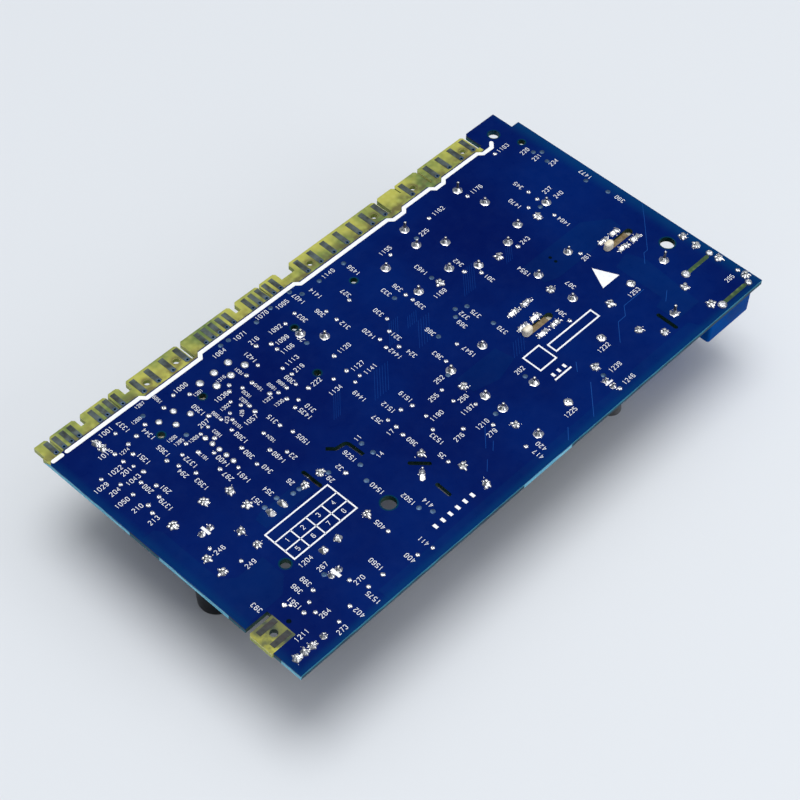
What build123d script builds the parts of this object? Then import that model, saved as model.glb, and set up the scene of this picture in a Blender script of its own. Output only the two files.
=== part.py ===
from build123d import *
import os
from math import acos, atan2, cos, degrees, hypot, pi, radians, sin, sqrt

# Control board of a washing machine, lying solder side up on its tallest parts.
# +Z is up, +Y points to the edge connectors, and the origin lies on the resting plane under the middle.
# Places are read as on a drill drawing: x across from the left edge and y down from the connector datum,
# in millimetres. A negative number is counted back from the opposite edge.

# ---------------------------------------------------------------- board
board_length = 176.3
board_depth = 95.3  # connector datum to the plain edge
tip_reach = 0.3  # connector tips past their datum
tongue_reach = 0.5  # test tongue past the left edge
board_thickness = 1.6
part_reach = 28.4  # component side to the resting plane
stand_off = 0.4  # air under a part that stands on ribs or on its leads

underside = part_reach
top = underside + board_thickness

# ---------------------------------------------------------------- edge connectors
gap_depth = 5.6
key_depth = 6.2
notch_depth = 2.8
tip_chamfer = 0.6
shoulder_width = 2.8
shoulder_depth = 7.0
tab_inset = 0.6
tab_inset_depth = 3.8

# middle, width and depth of every gap between two connector tabs
gaps = [
    (4.8, 0.7, gap_depth),
    (14.4, 1.7, notch_depth),
    (24.4, 0.6, gap_depth),
    (29.6, 2.5, notch_depth),
    (49.3, 1.2, key_depth),
    (68.6, 1.8, notch_depth),
    (78.4, 0.5, gap_depth),
    (-89.0, 5.0, notch_depth),
    (-52.5, 1.2, key_depth),
    (-45.0, 0.4, notch_depth),
    (-35.8, 0.6, key_depth),
    (-15.7, 1.5, key_depth),
]

finger_thickness = 0.08
finger_inset = 0.5  # connector datum to the finger
signal_pitch = 2.5
signal_finger = (1.5, 5.0)  # width and length
signal_rows = [3.6, 6.2, 18.2, 25.9, 55.1, 72.2, 79.9]  # middle of the first finger of each row
signal_counts = [1, 3, 3, 1, 5, 3, 2]
power_pitch = 5.03
power_finger = (1.7, 5.5)
power_rows = [32.5, -84.3, -43.0, -32.9]
power_counts = [4, 7, 1, 4]
coding_radius = 1.0
coding_holes = [(35.0, 3.8), (45.2, 3.8), (-81.8, 3.8), (-56.8, 3.8), (-41.1, 3.8), (-20.3, 3.8)]

# ---------------------------------------------------------------- test tongue
tongue_start = -17.0
tongue_end = -9.1
tongue_slot = (7.2, 1.6)  # length and width of the slot that frees its upper side
tongue_finger = (5.8, 1.6)
tongue_finger_inset = 1.6
tongue_centre = 4.0
tongue_hole_radius = 1.1

# ---------------------------------------------------------------- holes and milled slots
screw_radius = 2.1
screw_holes = [(50.7, -20.2), (-7.3, -27.1)]
corner_radius = 1.6
corner_hole = (-9.0, 5.5)
spacer_radius = 1.4
spacer_hole = (19.9, -25.3)
locating_radius = 1.0
locating_holes = [(25.8, 19.3), (41.8, 17.5), (75.0, 17.5), (68.2, 32.8), (-78.1, 16.8), (-5.7, 13.3)]

mill_width = 1.2
# both ends of every straight milled slot
mill_slots = [
    ((42.6, -41.9), (42.6, -36.1)),
    ((63.4, -25.0), (66.8, -21.4)),
    ((63.3, -15.4), (63.1, -11.3)),
    ((-29.8, -12.0), (-29.9, -6.0)),
]
crank = [(51.8, -43.3), (53.6, -41.4), (57.0, -41.0), (57.2, -35.2)]  # corners of the cranked slot
crank_radius = 1.2

# ---------------------------------------------------------------- tab housings
housing_width = 14.6
housing_length = 20.0
housing_wall = 1.2
housing_roof = 1.6
housing_margin = 2.6  # outer blade to the outside of the end wall
housing_corner = 0.8
blade = (6.3, 0.8, 9.0)  # width, thickness and free length
blade_chamfer = 1.2
blade_leg_pitch = 5.0
peg_slot = (11.4, 2.2)  # length and width
peg_length = 3.0
peg_height = 2.2  # above the solder side
peg_bevel = 0.4
peg_corner = 0.6
peg_fit = 0.1  # peg to each side of its slot
rib_depth = 0.5  # top of the rib below the solder side
rib_room = 2.0  # end of the slot that the rib leaves open
# places of the blades and of the peg slot of each housing
housings = [
    ([(-54.0, -40.1), (-56.1, -34.9), (-54.0, -29.7)], (-55.2, -32.7)),
    ([(-16.9, -40.1), (-14.6, -34.6)], (-16.0, -37.5)),
]

# ---------------------------------------------------------------- relays
relay_size = (19.0, 15.5, 13.6)  # length, width and height
relay_corner = 0.8
relay_end = 7.1  # contact row and common pin either side of the middle
relay_coil = 5.1  # coil row from the middle
relay_side = 6.05  # coil and contact pins either side of the long axis
# place, turn and whether both contact pins are there
relays = [
    ((-62.6, 26.8), 90, True),
    ((-44.1, 31.7), 90, False),
    ((-25.0, 29.1), 90, False),
    ((-78.0, -32.3), 0, False),
    ((-78.0, -14.2), 0, False),
    ((-36.2, -38.4), 0, False),
]

# ---------------------------------------------------------------- capacitors and discs
groove_start, groove_width, groove_depth = 1.6, 0.8, 0.4  # crimp near the seat of a large can
grooved_diameter = 10.0
can_pitch = 2.5
bulk_place, bulk_diameter, bulk_pitch = (13.2, -46.1), 10.2, 2.8
# place, turn of the leads, diameter and height of the small cans
small_cans = [((12.5, 10.9), 90, 5.0, 11.0), ((26.5, -15.0), 0, 8.0, 12.0), ((-57.4, -6.0), 90, 6.3, 9.6)]
mains_place, mains_size, mains_pitch = (-24.4, -23.7), (26.5, 13.0), 22.7
film_pitch = 15.0
# place and size of the small film capacitors
films = [((-9.5, -4.4), (18.0, 5.0, 11.4)), ((-9.5, -13.4), (18.0, 6.0, 12.0))]
box_corner = 0.7
disc_lead_length = 2.0  # board to the rim of a disc
disc_grip = 1.0  # lead inside the disc
# place, lead pitch, turn, diameter and thickness of the discs
discs = {
    "varistor_1": ((25.6, -47.6), 6.1, 90, 10.0, 4.4),
    "varistor_2": ((-30.0, -8.2), 7.8, 18, 11.0, 4.8),
    "safety_capacitor_1": ((-2.6, -23.2), 4.8, 90, 9.0, 4.0),
    "safety_capacitor_2": ((65.1, -22.6), 6.6, 45, 9.0, 4.0),
    "safety_capacitor_3": ((-104.4, -10.9), 7.9, 90, 10.0, 4.0),
}

# ---------------------------------------------------------------- wound parts
toroid_place, toroid_pitch = (-43.8, 13.4), 21.6
toroid_turns = 17
toroid_wire = 1.3
toroid_thickness = 4.6
toroid_hole = 13.0
toroid_fit = 0.1  # turn to the curved faces of the core

transformer_place = (36.8, -30.2)
transformer_pins = [(-8.6, 8.6), (-4.6, 8.6), (3.2, 8.6), (8.6, 8.6), (-7.6, -8.6), (-2.6, -8.6), (7.6, -8.6)]
bobbin_base = (22.0, 20.0, 2.2)
bobbin_rail = (3.4, 4.2)  # width and height of the pin rails
bobbin_cheek = (14.4, 1.4, 14.5)  # width, thickness and height
core_size = (21.6, 19.0, 6.0)
core_leg = (3.2, 2.9)  # side leg and yoke
winding_size, winding_corner = (13.0, 12.4), 2.5  # width and height
wound_fit = 0.2

line_choke_place, line_choke_size = (13.2, -37.1), (14.6, 7.2, 12.0)
line_choke_pitch = (11.5, 5.7)
axial_place, axial_pitch, axial_body = (-46.9, -12.2), 18.1, (6.0, 12.0)  # diameter and length
fuse_place, fuse_pitch, fuse_body = (13.6, -53.0), 10.3, (3.2, 6.6)
buzzer_place, buzzer_pitch, buzzer_turn = (76.6, 22.6), 6.5, 307
buzzer_diameter, buzzer_height, buzzer_hole = 12.0, 8.5, 2.0

# ---------------------------------------------------------------- headers and chips
header_pitch = 2.5
header_rows = 3.7  # between the two staggered rows
header_margin = 2.0
header_base = 3.0
pin_size, pin_length = 0.64, 7.0
# first pin of each staggered header, and its number of pins
headers = {"header_4": (28.2, 15.8), "header_6": (44.3, 13.8)}
header_counts = [4, 6]
strip_place, strip_count, strip_pitch = (32.9, 28.0), 5, 2.57
block_place, block_count, block_pitch, block_size = (5.3, -4.1), 3, 2.55, (8.4, 3.0, 3.0)

lead_thickness = 0.25
chip_lift = 0.1
# place, turn, length, width and height of the body, pitch and width of the leads, leads on all four sides
chips = {
    "microcontroller": ((52.0, 30.0), 0, (7.0, 7.0, 1.4), 0.8, 0.35, True),
    "relay_driver": ((82.0, 44.0), 0, (9.9, 3.9, 1.5), 1.27, 0.42, False),
    "memory_chip": ((66.0, 30.0), 90, (4.9, 3.9, 1.5), 1.27, 0.42, False),
}
chip_lead_counts = [8, 8, 4]  # on each side
chip_lead_reach = 1.0
crystal_place, crystal_size, crystal_corner = (41.5, 43.0), (11.0, 4.6, 3.6), 1.4
chip_part = (2.0, 1.25, 0.6)
# middle and spacing of the fields of small chip parts, and their columns and rows
chip_fields = [((62.0, 44.0), (3.4, 3.0)), ((17.0, 28.0), (4.0, 3.4))]
column_counts = [6, 4]
row_counts = [2, 3]

# ---------------------------------------------------------------- solder
lead_size = 0.7
thin_lead = 0.5
joint_sides = 6
cone_radius, cone_height, cone_taper, cone_lead = 1.35, 0.9, 38, 3.3
small_radius, small_height, small_taper, small_lead = 0.9, 0.7, 30, 1.3
star_radius, star_waist, star_height, star_lead, star_points = 1.5, 0.75, 0.7, 1.5, 5
round_radius, round_height, round_taper, round_sides = 1.35, 0.7, 30, 8
header_joint_height, header_taper, header_sides = 0.5, 40, 6
tab_joint, tab_joint_height, tab_taper = (3.6, 2.0), 0.8, 25
round_places = [(-26.2, -24.5), (-46.9, -17.6), (-69.8, -9.5), (-13.0, -16.1), (-14.8, -2.1)]
small_round_radius = 1.05
small_round_places = [(-2.3, -16.4), (-3.4, -2.1)]
header_joint_radii = [0.95, 1.15]
strip_joint_radius = 0.85

dot_radius, dot_height, dot_taper, dot_sides = 0.6, 0.35, 30, 4
# solder dots over test vias, from the left edge to the right edge
left_dots = [
    (5.8, 19.2), (7.7, 35.9), (8.1, 23.8), (8.2, 28.3), (8.6, 33.4), (12.1, 26.9), (12.2, 33.4),
    (13.4, 18.9), (13.5, 15.6), (14.1, 30.3), (14.2, 21.8), (14.8, 24.8), (16.7, 18.8), (18.0, 10.8),
    (18.0, 15.6), (21.2, 15.1), (21.2, 26.4), (22.2, 29.7), (23.7, 34.4), (25.2, 13.9), (25.2, 27.8),
    (28.3, 25.8), (28.6, 30.0), (28.7, 37.8), (31.2, 33.0), (32.3, 13.2), (32.3, 40.7), (33.0, 26.2),
    (34.6, 29.6), (35.9, 25.8), (36.3, 43.2), (36.8, 11.9), (37.2, 36.8), (38.5, 23.3), (39.4, 30.8),
    (39.9, 26.4), (40.0, 14.6), (41.7, 42.3), (41.9, 28.5), (42.9, 26.5), (44.3, 45.8), (44.4, 37.3),
    (45.6, 23.9), (46.7, 26.5), (47.7, 21.2), (47.8, 30.6), (48.1, 28.3), (49.1, 38.4), (49.2, 19.6),
    (49.9, 42.2), (51.0, 22.7), (53.9, 23.2), (54.6, 20.4), (54.6, 29.0), (55.9, 37.0), (56.4, 30.4),
    (56.4, 33.4), (58.3, 35.8), (59.0, 30.8), (59.1, 20.0), (61.5, 31.6), (62.9, 25.3), (62.9, 34.8),
    (63.2, 28.4), (63.4, 14.9), (66.5, 19.6), (66.7, 17.2), (69.6, 37.3), (72.8, 42.0), (74.0, 37.7),
    (74.3, 14.8), (75.2, 41.3), (75.3, 31.9), (78.6, 13.9), (84.9, 23.4), (85.0, 19.4), (87.0, 39.5),
    (87.9, 36.4),
]
lower_left_dots = [
    (10.2, -41.6), (13.0, -33.5), (13.0, -12.1), (15.0, -10.2), (16.0, -13.3), (17.0, -4.3), (19.1, -15.1),
    (22.0, -5.6), (27.3, -10.9), (29.1, -6.3), (34.1, -6.3), (44.2, -4.3), (44.3, -14.3), (48.3, -3.1),
    (49.9, -34.3), (68.8, -32.5), (69.5, -35.5), (69.6, -38.5), (70.5, -18.4), (74.4, -38.5), (75.3, -28.2),
    (77.4, -32.5), (77.5, -37.4), (81.0, -22.9), (86.0, -30.9), (86.6, -35.5), (87.3, -18.3), (87.9, -7.7),
]
right_dots = [
    (-86.7, 41.7), (-84.6, 36.2), (-84.1, 20.9), (-81.8, 32.7), (-72.1, 30.3), (-72.1, 32.9), (-64.3, 17.2),
    (-54.7, 35.8), (-51.7, 39.3), (-46.7, 15.2), (-37.4, 39.9), (-32.8, 17.0), (-24.1, 32.1), (-21.2, 39.1),
    (-19.9, 31.6), (-19.5, 28.0), (-14.7, 11.1), (-87.1, -26.1), (-81.7, -41.4), (-75.3, -43.4), (-56.8, -3.0),
    (-48.1, -27.6), (-27.3, -41.5), (-1.8, -7.0),
]


def at(x, y):
    """Model X and Y of a place on the drill drawing."""
    across = x if x >= 0 else board_length + x
    down = y if y >= 0 else board_depth + y
    return (across - (board_length - tongue_reach) / 2, (board_depth - tip_reach) / 2 - down)


def turned(place, offsets, turn=0):
    """Model places of pins about a part's place, turned counter-clockwise seen from above."""
    x, y = at(*place)
    c, s = cos(radians(turn)), sin(radians(turn))
    return [(x + dx * c - dy * s, y + dx * s + dy * c) for dx, dy in offsets]


def pair(place, pitch, turn=0):
    """Both lead places of a two-lead part."""
    return turned(place, [(-pitch / 2, 0), (pitch / 2, 0)], turn)


def seat(place, turn=0, gap=0.0):
    """Plane on the component side at a part's place, with its normal away from the board."""
    x, y = at(*place)
    x_dir = (cos(radians(turn)), sin(radians(turn)), 0)
    return Plane(origin=(x, y, underside - gap), x_dir=x_dir, z_dir=(0, 0, -1))


def save(part, name):
    """Label a finished piece and write it as one STEP file."""
    part.label = name
    export_step(part, f"parts/{name}.step")


on_seat = (Align.CENTER, Align.CENTER, Align.MIN)
os.makedirs("parts", exist_ok=True)

# ================================================================ board
left_edge, datum = at(0, 0)
right_edge = left_edge + board_length
plain_edge = datum - board_depth
tip_line = datum + tip_reach


def gap_outline(middle, width, depth):
    """Corners of a gap between two connector tabs, its mouth chamfered."""
    x, _ = at(middle, 0)
    half = width / 2
    return [
        (x - half - tip_chamfer, tip_line),
        (x - half, tip_line - tip_chamfer),
        (x - half, datum - depth),
        (x + half, datum - depth),
        (x + half, tip_line - tip_chamfer),
        (x + half + tip_chamfer, tip_line),
    ]


with BuildPart() as board:
    with BuildSketch(Plane.XY.offset(underside)):
        with BuildLine():
            Polyline(
                (left_edge, plain_edge),
                (right_edge, plain_edge),
                (right_edge, datum - shoulder_depth),
                (right_edge - shoulder_width, datum - shoulder_depth),
                (right_edge - shoulder_width, tip_line),
                (left_edge + tab_inset, tip_line),
                (left_edge + tab_inset, datum - tab_inset_depth),
                (left_edge, datum - tab_inset_depth),
                close=True,
            )
        make_face()
        for middle, width, depth in gaps:
            with BuildLine():
                Polyline(*gap_outline(middle, width, depth), close=True)
            make_face(mode=Mode.SUBTRACT)

        # test tongue, with the slot that frees its upper side
        _, tongue_upper = at(0, tongue_start)
        _, tongue_lower = at(0, tongue_end)
        with Locations((left_edge, tongue_upper)):
            Rectangle(*tongue_slot, align=(Align.MIN, Align.MIN), mode=Mode.SUBTRACT)
        with BuildLine():
            Polyline(
                (left_edge, tongue_upper),
                (left_edge - tongue_reach, tongue_upper - tongue_reach),
                (left_edge - tongue_reach, tongue_lower),
                (left_edge, tongue_lower),
                close=True,
            )
        make_face()
        tongue_middle = (tongue_upper + tongue_lower) / 2
        with Locations((left_edge + tongue_centre, tongue_middle)):
            Circle(tongue_hole_radius, mode=Mode.SUBTRACT)

        for places, radius in (
            (coding_holes, coding_radius),
            (screw_holes, screw_radius),
            ([corner_hole], corner_radius),
            ([spacer_hole], spacer_radius),
            (locating_holes, locating_radius),
        ):
            with Locations(*[at(*place) for place in places]):
                Circle(radius, mode=Mode.SUBTRACT)

        for start, end in mill_slots:
            (x1, y1), (x2, y2) = at(*start), at(*end)
            with Locations(((x1 + x2) / 2, (y1 + y2) / 2)):
                SlotCenterToCenter(
                    hypot(x2 - x1, y2 - y1),
                    mill_width,
                    rotation=degrees(atan2(y2 - y1, x2 - x1)),
                    mode=Mode.SUBTRACT,
                )
        with BuildLine() as crank_path:
            FilletPolyline(*[at(*place) for place in crank], radius=crank_radius)
        trace(crank_path.line, line_width=mill_width, mode=Mode.SUBTRACT)
        with Locations(*[at(*slot) for _, slot in housings]):
            SlotOverall(*peg_slot, mode=Mode.SUBTRACT)
    extrude(amount=board_thickness)
save(board.part, "board")

# ================================================================ copper and solder on the upper side
with BuildPart() as edge_fingers:
    with BuildSketch(Plane.XY.offset(top)):
        for rows, counts, pitch, finger in (
            (signal_rows, signal_counts, signal_pitch, signal_finger),
            (power_rows, power_counts, power_pitch, power_finger),
        ):
            for first, count in zip(rows, counts):
                x, y = at(first, finger_inset)
                with Locations(*[(x + i * pitch, y) for i in range(count)]):
                    Rectangle(*finger, align=(Align.CENTER, Align.MAX))
        finger_side = (tongue_upper - tongue_lower) / 2 - tongue_finger_inset
        with Locations(*[(left_edge + tongue_centre, tongue_middle + i * finger_side) for i in (-1, 1)]):
            Rectangle(*tongue_finger)
    extrude(amount=finger_thickness)
save(edge_fingers.part, "edge_fingers")

relay_pins = [(-relay_coil, -relay_side), (-relay_coil, relay_side), (relay_end, relay_side)]
second_contact = [(relay_end, -relay_side)]
choke_pins = [(i * line_choke_pitch[0] / 2, j * line_choke_pitch[1] / 2) for i in (-1, 1) for j in (-1, 1)]
block_pins = [((i - (block_count - 1) / 2) * block_pitch, 0) for i in range(block_count)]

cone_places = pair(toroid_place, toroid_pitch) + pair(mains_place, mains_pitch)
cone_places += pair(buzzer_place, buzzer_pitch, buzzer_turn) + turned(transformer_place, transformer_pins)
star_places = turned(line_choke_place, choke_pins)
star_places += pair(fuse_place, fuse_pitch) + pair(axial_place, axial_pitch)
for place, turn, both in relays:
    cone_places += turned(place, relay_pins + second_contact * both, turn)
    star_places += turned(place, [(-relay_end, 0)], turn)
for place, _ in films:
    star_places += pair(place, film_pitch)
for place, pitch, turn, _, _ in discs.values():
    star_places += pair(place, pitch, turn)
small_places = pair(bulk_place, bulk_pitch) + turned(block_place, block_pins)
for place, turn, _, _ in small_cans:
    small_places += pair(place, can_pitch, turn)


def header_places(first, count):
    """Pin places of a staggered header."""
    return turned(first, [(i * header_pitch, -header_rows * (i % 2)) for i in range(count)])


header_pin_places = [header_places(first, count) for first, count in zip(headers.values(), header_counts)]
strip_places = turned(strip_place, [(0, -i * strip_pitch) for i in range(strip_count)])
star_outline = [
    (star_radius * reach * cos(radians(angle)), star_radius * reach * sin(radians(angle)))
    for i in range(star_points)
    for reach, angle in (
        (1, 360 * i / star_points),
        (star_waist, 360 * (i + 0.5) / star_points),
    )
]


def ring(radius):
    """Corners of a joint's outline."""
    angles = [2 * pi * i / joint_sides for i in range(joint_sides)]
    return [(radius * cos(angle), radius * sin(angle)) for angle in angles]


def joints(name, places, outline, height, taper, lead, lead_height):
    """Solder joints of one shape, a square lead end standing up out of each."""
    with BuildPart() as solder:
        with BuildSketch(Plane.XY.offset(top)):
            with Locations(*places):
                Polygon(*outline)
        extrude(amount=height, taper=taper)
        with BuildSketch(Plane.XY.offset(top)):
            with Locations(*places):
                Rectangle(lead, lead)
        extrude(amount=lead_height)
    save(solder.part, name)


joints("cone_joints", cone_places, ring(cone_radius), cone_height, cone_taper, lead_size, cone_lead)
joints("small_joints", small_places, ring(small_radius), small_height, small_taper, thin_lead, small_lead)
joints("star_joints", star_places, star_outline, star_height, 0, lead_size, star_lead)

with BuildPart() as header_joints:
    with BuildSketch(Plane.XY.offset(top)):
        for places, radius in zip(header_pin_places, header_joint_radii):
            with Locations(*places):
                RegularPolygon(radius, header_sides)
        with Locations(*strip_places):
            RegularPolygon(strip_joint_radius, header_sides)
    extrude(amount=header_joint_height, taper=header_taper)
save(header_joints.part, "header_joints")

with BuildPart() as round_joints:
    with BuildSketch(Plane.XY.offset(top)):
        for places, radius in ((round_places, round_radius), (small_round_places, small_round_radius)):
            with Locations(*[at(*place) for place in places]):
                RegularPolygon(radius, round_sides)
    extrude(amount=round_height, taper=round_taper)
save(round_joints.part, "round_joints")

with BuildPart() as tab_joints:
    with BuildSketch(Plane.XY.offset(top)):
        for blades, _ in housings:
            for place in blades:
                with Locations(*pair(place, blade_leg_pitch)):
                    Rectangle(*tab_joint)
    extrude(amount=tab_joint_height, taper=tab_taper)
save(tab_joints.part, "tab_joints")

with BuildPart() as test_points:
    with BuildSketch(Plane.XY.offset(top)):
        with Locations(*[at(*place) for place in left_dots + lower_left_dots + right_dots]):
            RegularPolygon(dot_radius, dot_sides)
    extrude(amount=dot_height, taper=dot_taper)
save(test_points.part, "test_points")

# ================================================================ relays
for number, (place, turn, _) in enumerate(relays, start=1):
    with BuildPart(seat(place, turn)) as relay:
        Box(*relay_size, align=on_seat)
        chamfer(relay.edges().filter_by(Axis.Z), relay_corner)
        chamfer(relay.faces().sort_by(Axis.Z)[0].edges(), relay_corner / 2)
    save(relay.part, f"relay_{number}")

# ================================================================ capacitors
cans = {"bulk_capacitor": (bulk_place, bulk_diameter, part_reach - stand_off)}
for number, (place, _, diameter, height) in enumerate(small_cans, start=1):
    cans[f"small_capacitor_{number}"] = (place, diameter, height)
for name, (place, diameter, height) in cans.items():
    with BuildPart(seat(place, gap=stand_off)) as can:
        Cylinder(diameter / 2, height, align=on_seat)
        if diameter >= grooved_diameter:
            with Locations((0, 0, groove_start)):
                Cylinder(diameter / 2, groove_width, align=on_seat, mode=Mode.SUBTRACT)
                Cylinder(diameter / 2 - groove_depth, groove_width, align=on_seat)
    save(can.part, name)

boxes = {"mains_capacitor": (mains_place, (*mains_size, part_reach - stand_off), stand_off)}
for number, (place, size) in enumerate(films, start=1):
    boxes[f"film_capacitor_{number}"] = (place, size, 0.0)
boxes["line_choke"] = (line_choke_place, line_choke_size, 0.0)
boxes["jumper_block"] = (block_place, block_size, 0.0)
for name, (place, size, gap) in boxes.items():
    with BuildPart(seat(place, gap=gap)) as box:
        Box(*size, align=on_seat)
        chamfer(box.edges().filter_by(Axis.Z), box_corner)
        chamfer(box.faces().sort_by(Axis.Z)[0].edges(), box_corner / 2)
    save(box.part, name)

# ================================================================ discs on two leads
for name, (place, pitch, turn, diameter, thickness) in discs.items():
    x, y = at(*place)
    radius = diameter / 2
    along = (cos(radians(turn)), sin(radians(turn)), 0)
    across = (-sin(radians(turn)), cos(radians(turn)), 0)
    centre = (x, y, underside - disc_lead_length - radius)
    rise = sqrt(radius**2 - (pitch / 2) ** 2) if pitch < diameter else 0
    lead_length = disc_lead_length + radius - rise + disc_grip
    with BuildPart() as disc:
        with BuildSketch(Plane(origin=centre, x_dir=along, z_dir=across)):
            Circle(radius)
        extrude(amount=thickness / 2, both=True)
        with BuildSketch(Plane.XY.offset(underside)):
            with Locations(*pair(place, pitch, turn)):
                Rectangle(lead_size, lead_size, rotation=turn)
        extrude(amount=-lead_length)
    save(disc.part, name)

# ================================================================ lying round parts
for name, place, pitch, (diameter, length) in (
    ("axial_choke", axial_place, axial_pitch, axial_body),
    ("fuse_resistor", fuse_place, fuse_pitch, fuse_body),
):
    x, y = at(*place)
    middle = underside - diameter / 2
    with BuildPart() as lying:
        with BuildSketch(Plane(origin=(x, y, middle), x_dir=(0, 1, 0), z_dir=(1, 0, 0))):
            Circle(diameter / 2)
        extrude(amount=length / 2, both=True)
        with Locations((x, y, middle)):
            Box(pitch + lead_size, lead_size, lead_size)
        with BuildSketch(Plane.XY.offset(underside)):
            with Locations(*pair(place, pitch)):
                Rectangle(lead_size, lead_size)
        extrude(amount=-diameter / 2)
    save(lying.part, name)

with BuildPart(seat(buzzer_place, gap=stand_off)) as buzzer:
    Cylinder(buzzer_diameter / 2, buzzer_height, align=on_seat)
    with Locations((0, 0, buzzer_height)):
        Hole(buzzer_hole / 2, depth=buzzer_hole)
save(buzzer.part, "buzzer")

# ================================================================ toroid choke, standing on its edge
toroid_x, toroid_y = at(*toroid_place)
toroid_outside = (part_reach - stand_off) / 2
core_outside = toroid_outside - toroid_wire - toroid_fit
core_inside = toroid_hole / 2
toroid_plane = Plane(origin=(toroid_x, toroid_y, toroid_outside), x_dir=(1, 0, 0), z_dir=(0, -1, 0))

with BuildPart() as toroid_core:
    with BuildSketch(toroid_plane):
        Circle(core_outside)
        Circle(core_inside, mode=Mode.SUBTRACT)
    extrude(amount=toroid_thickness / 2, both=True)
save(toroid_core.part, "toroid_core")

# angle of the first turn, which stands under its lead
lead_turn = degrees(acos(toroid_pitch / 2 / toroid_outside))
turn_step = (180 + 2 * lead_turn) / (toroid_turns - 1)
loop_middle = (core_outside + core_inside) / 2
loop_inner = (core_outside - core_inside + 2 * toroid_fit, toroid_thickness)
with BuildPart() as toroid_winding:
    for i in range(toroid_turns):
        angle = lead_turn - i * turn_step
        radial = (cos(radians(angle)), 0, sin(radians(angle)))
        tangent = (-sin(radians(angle)), 0, cos(radians(angle)))
        middle = (toroid_x + loop_middle * radial[0], toroid_y, toroid_outside + loop_middle * radial[2])
        with BuildSketch(Plane(origin=middle, x_dir=radial, z_dir=tangent)):
            Rectangle(loop_inner[0] + 2 * toroid_wire, loop_inner[1] + 2 * toroid_wire)
            Rectangle(*loop_inner, mode=Mode.SUBTRACT)
        extrude(amount=toroid_wire / 2, both=True)
    with BuildSketch(Plane.XY.offset(underside)):
        with Locations(*pair(toroid_place, toroid_pitch)):
            Rectangle(toroid_wire, toroid_wire)
    extrude(amount=-(toroid_outside + stand_off - toroid_outside * sin(radians(lead_turn))))
save(toroid_winding.part, "toroid_winding")

# ================================================================ transformer
base_length, base_width, base_height = bobbin_base
rail_width, rail_height = bobbin_rail
cheek_width, cheek_thickness, cheek_height = bobbin_cheek
leg_width, yoke_width = core_leg
window = (core_size[0] - 2 * leg_width, core_size[1] - 2 * yoke_width)
cheek_place = window[1] / 2 - wound_fit - cheek_thickness / 2

with BuildPart(seat(transformer_place)) as transformer_bobbin:
    Box(base_length, base_width, base_height, align=on_seat)
    with Locations(*[(0, i * (base_width - rail_width) / 2, 0) for i in (-1, 1)]):
        Box(base_length, rail_width, rail_height, align=on_seat)
    with Locations(*[(0, i * cheek_place, 0) for i in (-1, 1)]):
        Box(cheek_width, cheek_thickness, cheek_height, align=on_seat)
save(transformer_bobbin.part, "transformer_bobbin")

winding_width, winding_height = winding_size
winding_length = 2 * cheek_place - cheek_thickness - wound_fit
with BuildPart(seat(transformer_place, gap=base_height)) as transformer_winding:
    Box(winding_width, winding_length, winding_height, align=on_seat)
    chamfer(transformer_winding.edges().filter_by(Axis.Y), winding_corner)
save(transformer_winding.part, "transformer_winding")

with BuildPart(seat(transformer_place, gap=rail_height)) as transformer_core:
    Box(*core_size, align=on_seat)
    Box(*window, core_size[2], align=on_seat, mode=Mode.SUBTRACT)
    chamfer(transformer_core.faces().sort_by(Axis.Z)[0].edges(), box_corner / 2)
save(transformer_core.part, "transformer_core")

# ================================================================ tab housings and their blades
for number, (blades, slot) in enumerate(housings, start=1):
    slot_x, slot_y = at(*slot)
    first_y = at(*blades[0])[1]
    last_y = at(*blades[-1])[1]
    body_y = (first_y + last_y) / 2
    body_length = first_y - last_y + 2 * housing_margin
    peg_width = peg_slot[1] - 2 * peg_fit
    rib_length = peg_slot[0] - peg_length - rib_room
    peg_x = slot_x - peg_slot[0] / 2 + peg_length / 2 + peg_fit
    with BuildPart() as tab_housing:
        with BuildSketch(Plane.XY.offset(underside)):
            with Locations((slot_x, body_y)):
                Rectangle(housing_width, body_length)
        extrude(amount=-housing_length)
        chamfer(tab_housing.edges().filter_by(Axis.Z), housing_corner)
        with BuildSketch(Plane.XY.offset(underside - housing_length)):
            with Locations((slot_x, body_y)):
                Rectangle(housing_width - 2 * housing_wall, body_length - 2 * housing_wall)
        extrude(amount=housing_length - housing_roof, mode=Mode.SUBTRACT)
        with BuildSketch(Plane.XY.offset(underside)):
            with Locations((peg_x + peg_length / 2 + rib_length / 2, slot_y)):
                Rectangle(rib_length, peg_width)
        extrude(amount=board_thickness - rib_depth)
        with BuildSketch(Plane.XY.offset(underside)):
            with Locations((peg_x, slot_y)):
                peg = Rectangle(peg_length, peg_width)
            chamfer(peg.vertices(), peg_corner)
        extrude(amount=board_thickness + peg_height)
        peg_top = tab_housing.faces().sort_by(Axis.Z)[-1]
        chamfer(peg_top.edges(), peg_bevel)
    save(tab_housing.part, f"tab_housing_{number}")

    with BuildPart() as tabs:
        with BuildSketch(Plane.XY.offset(underside - housing_roof)):
            with Locations(*[at(*place) for place in blades]):
                Rectangle(blade[0], blade[1])
        extrude(amount=-blade[2])
        tips = tabs.faces().sort_by(Axis.Z)[: len(blades)]
        chamfer(tips.edges().filter_by(Axis.Y), blade_chamfer)
    save(tabs.part, f"tabs_{number}")

# ================================================================ headers
for (name, first), count in zip(headers.items(), header_counts):
    x, y = at(*first)
    row_length = (count - 1) * header_pitch
    middle = (x + row_length / 2, y - header_rows / 2)
    with BuildPart() as header:
        with BuildSketch(Plane.XY.offset(underside)):
            with Locations(middle):
                Rectangle(row_length + 2 * header_margin, header_rows + 2 * header_margin)
        extrude(amount=-header_base)
        chamfer(header.edges().filter_by(Axis.Z), box_corner)
    save(header.part, name)

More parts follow.
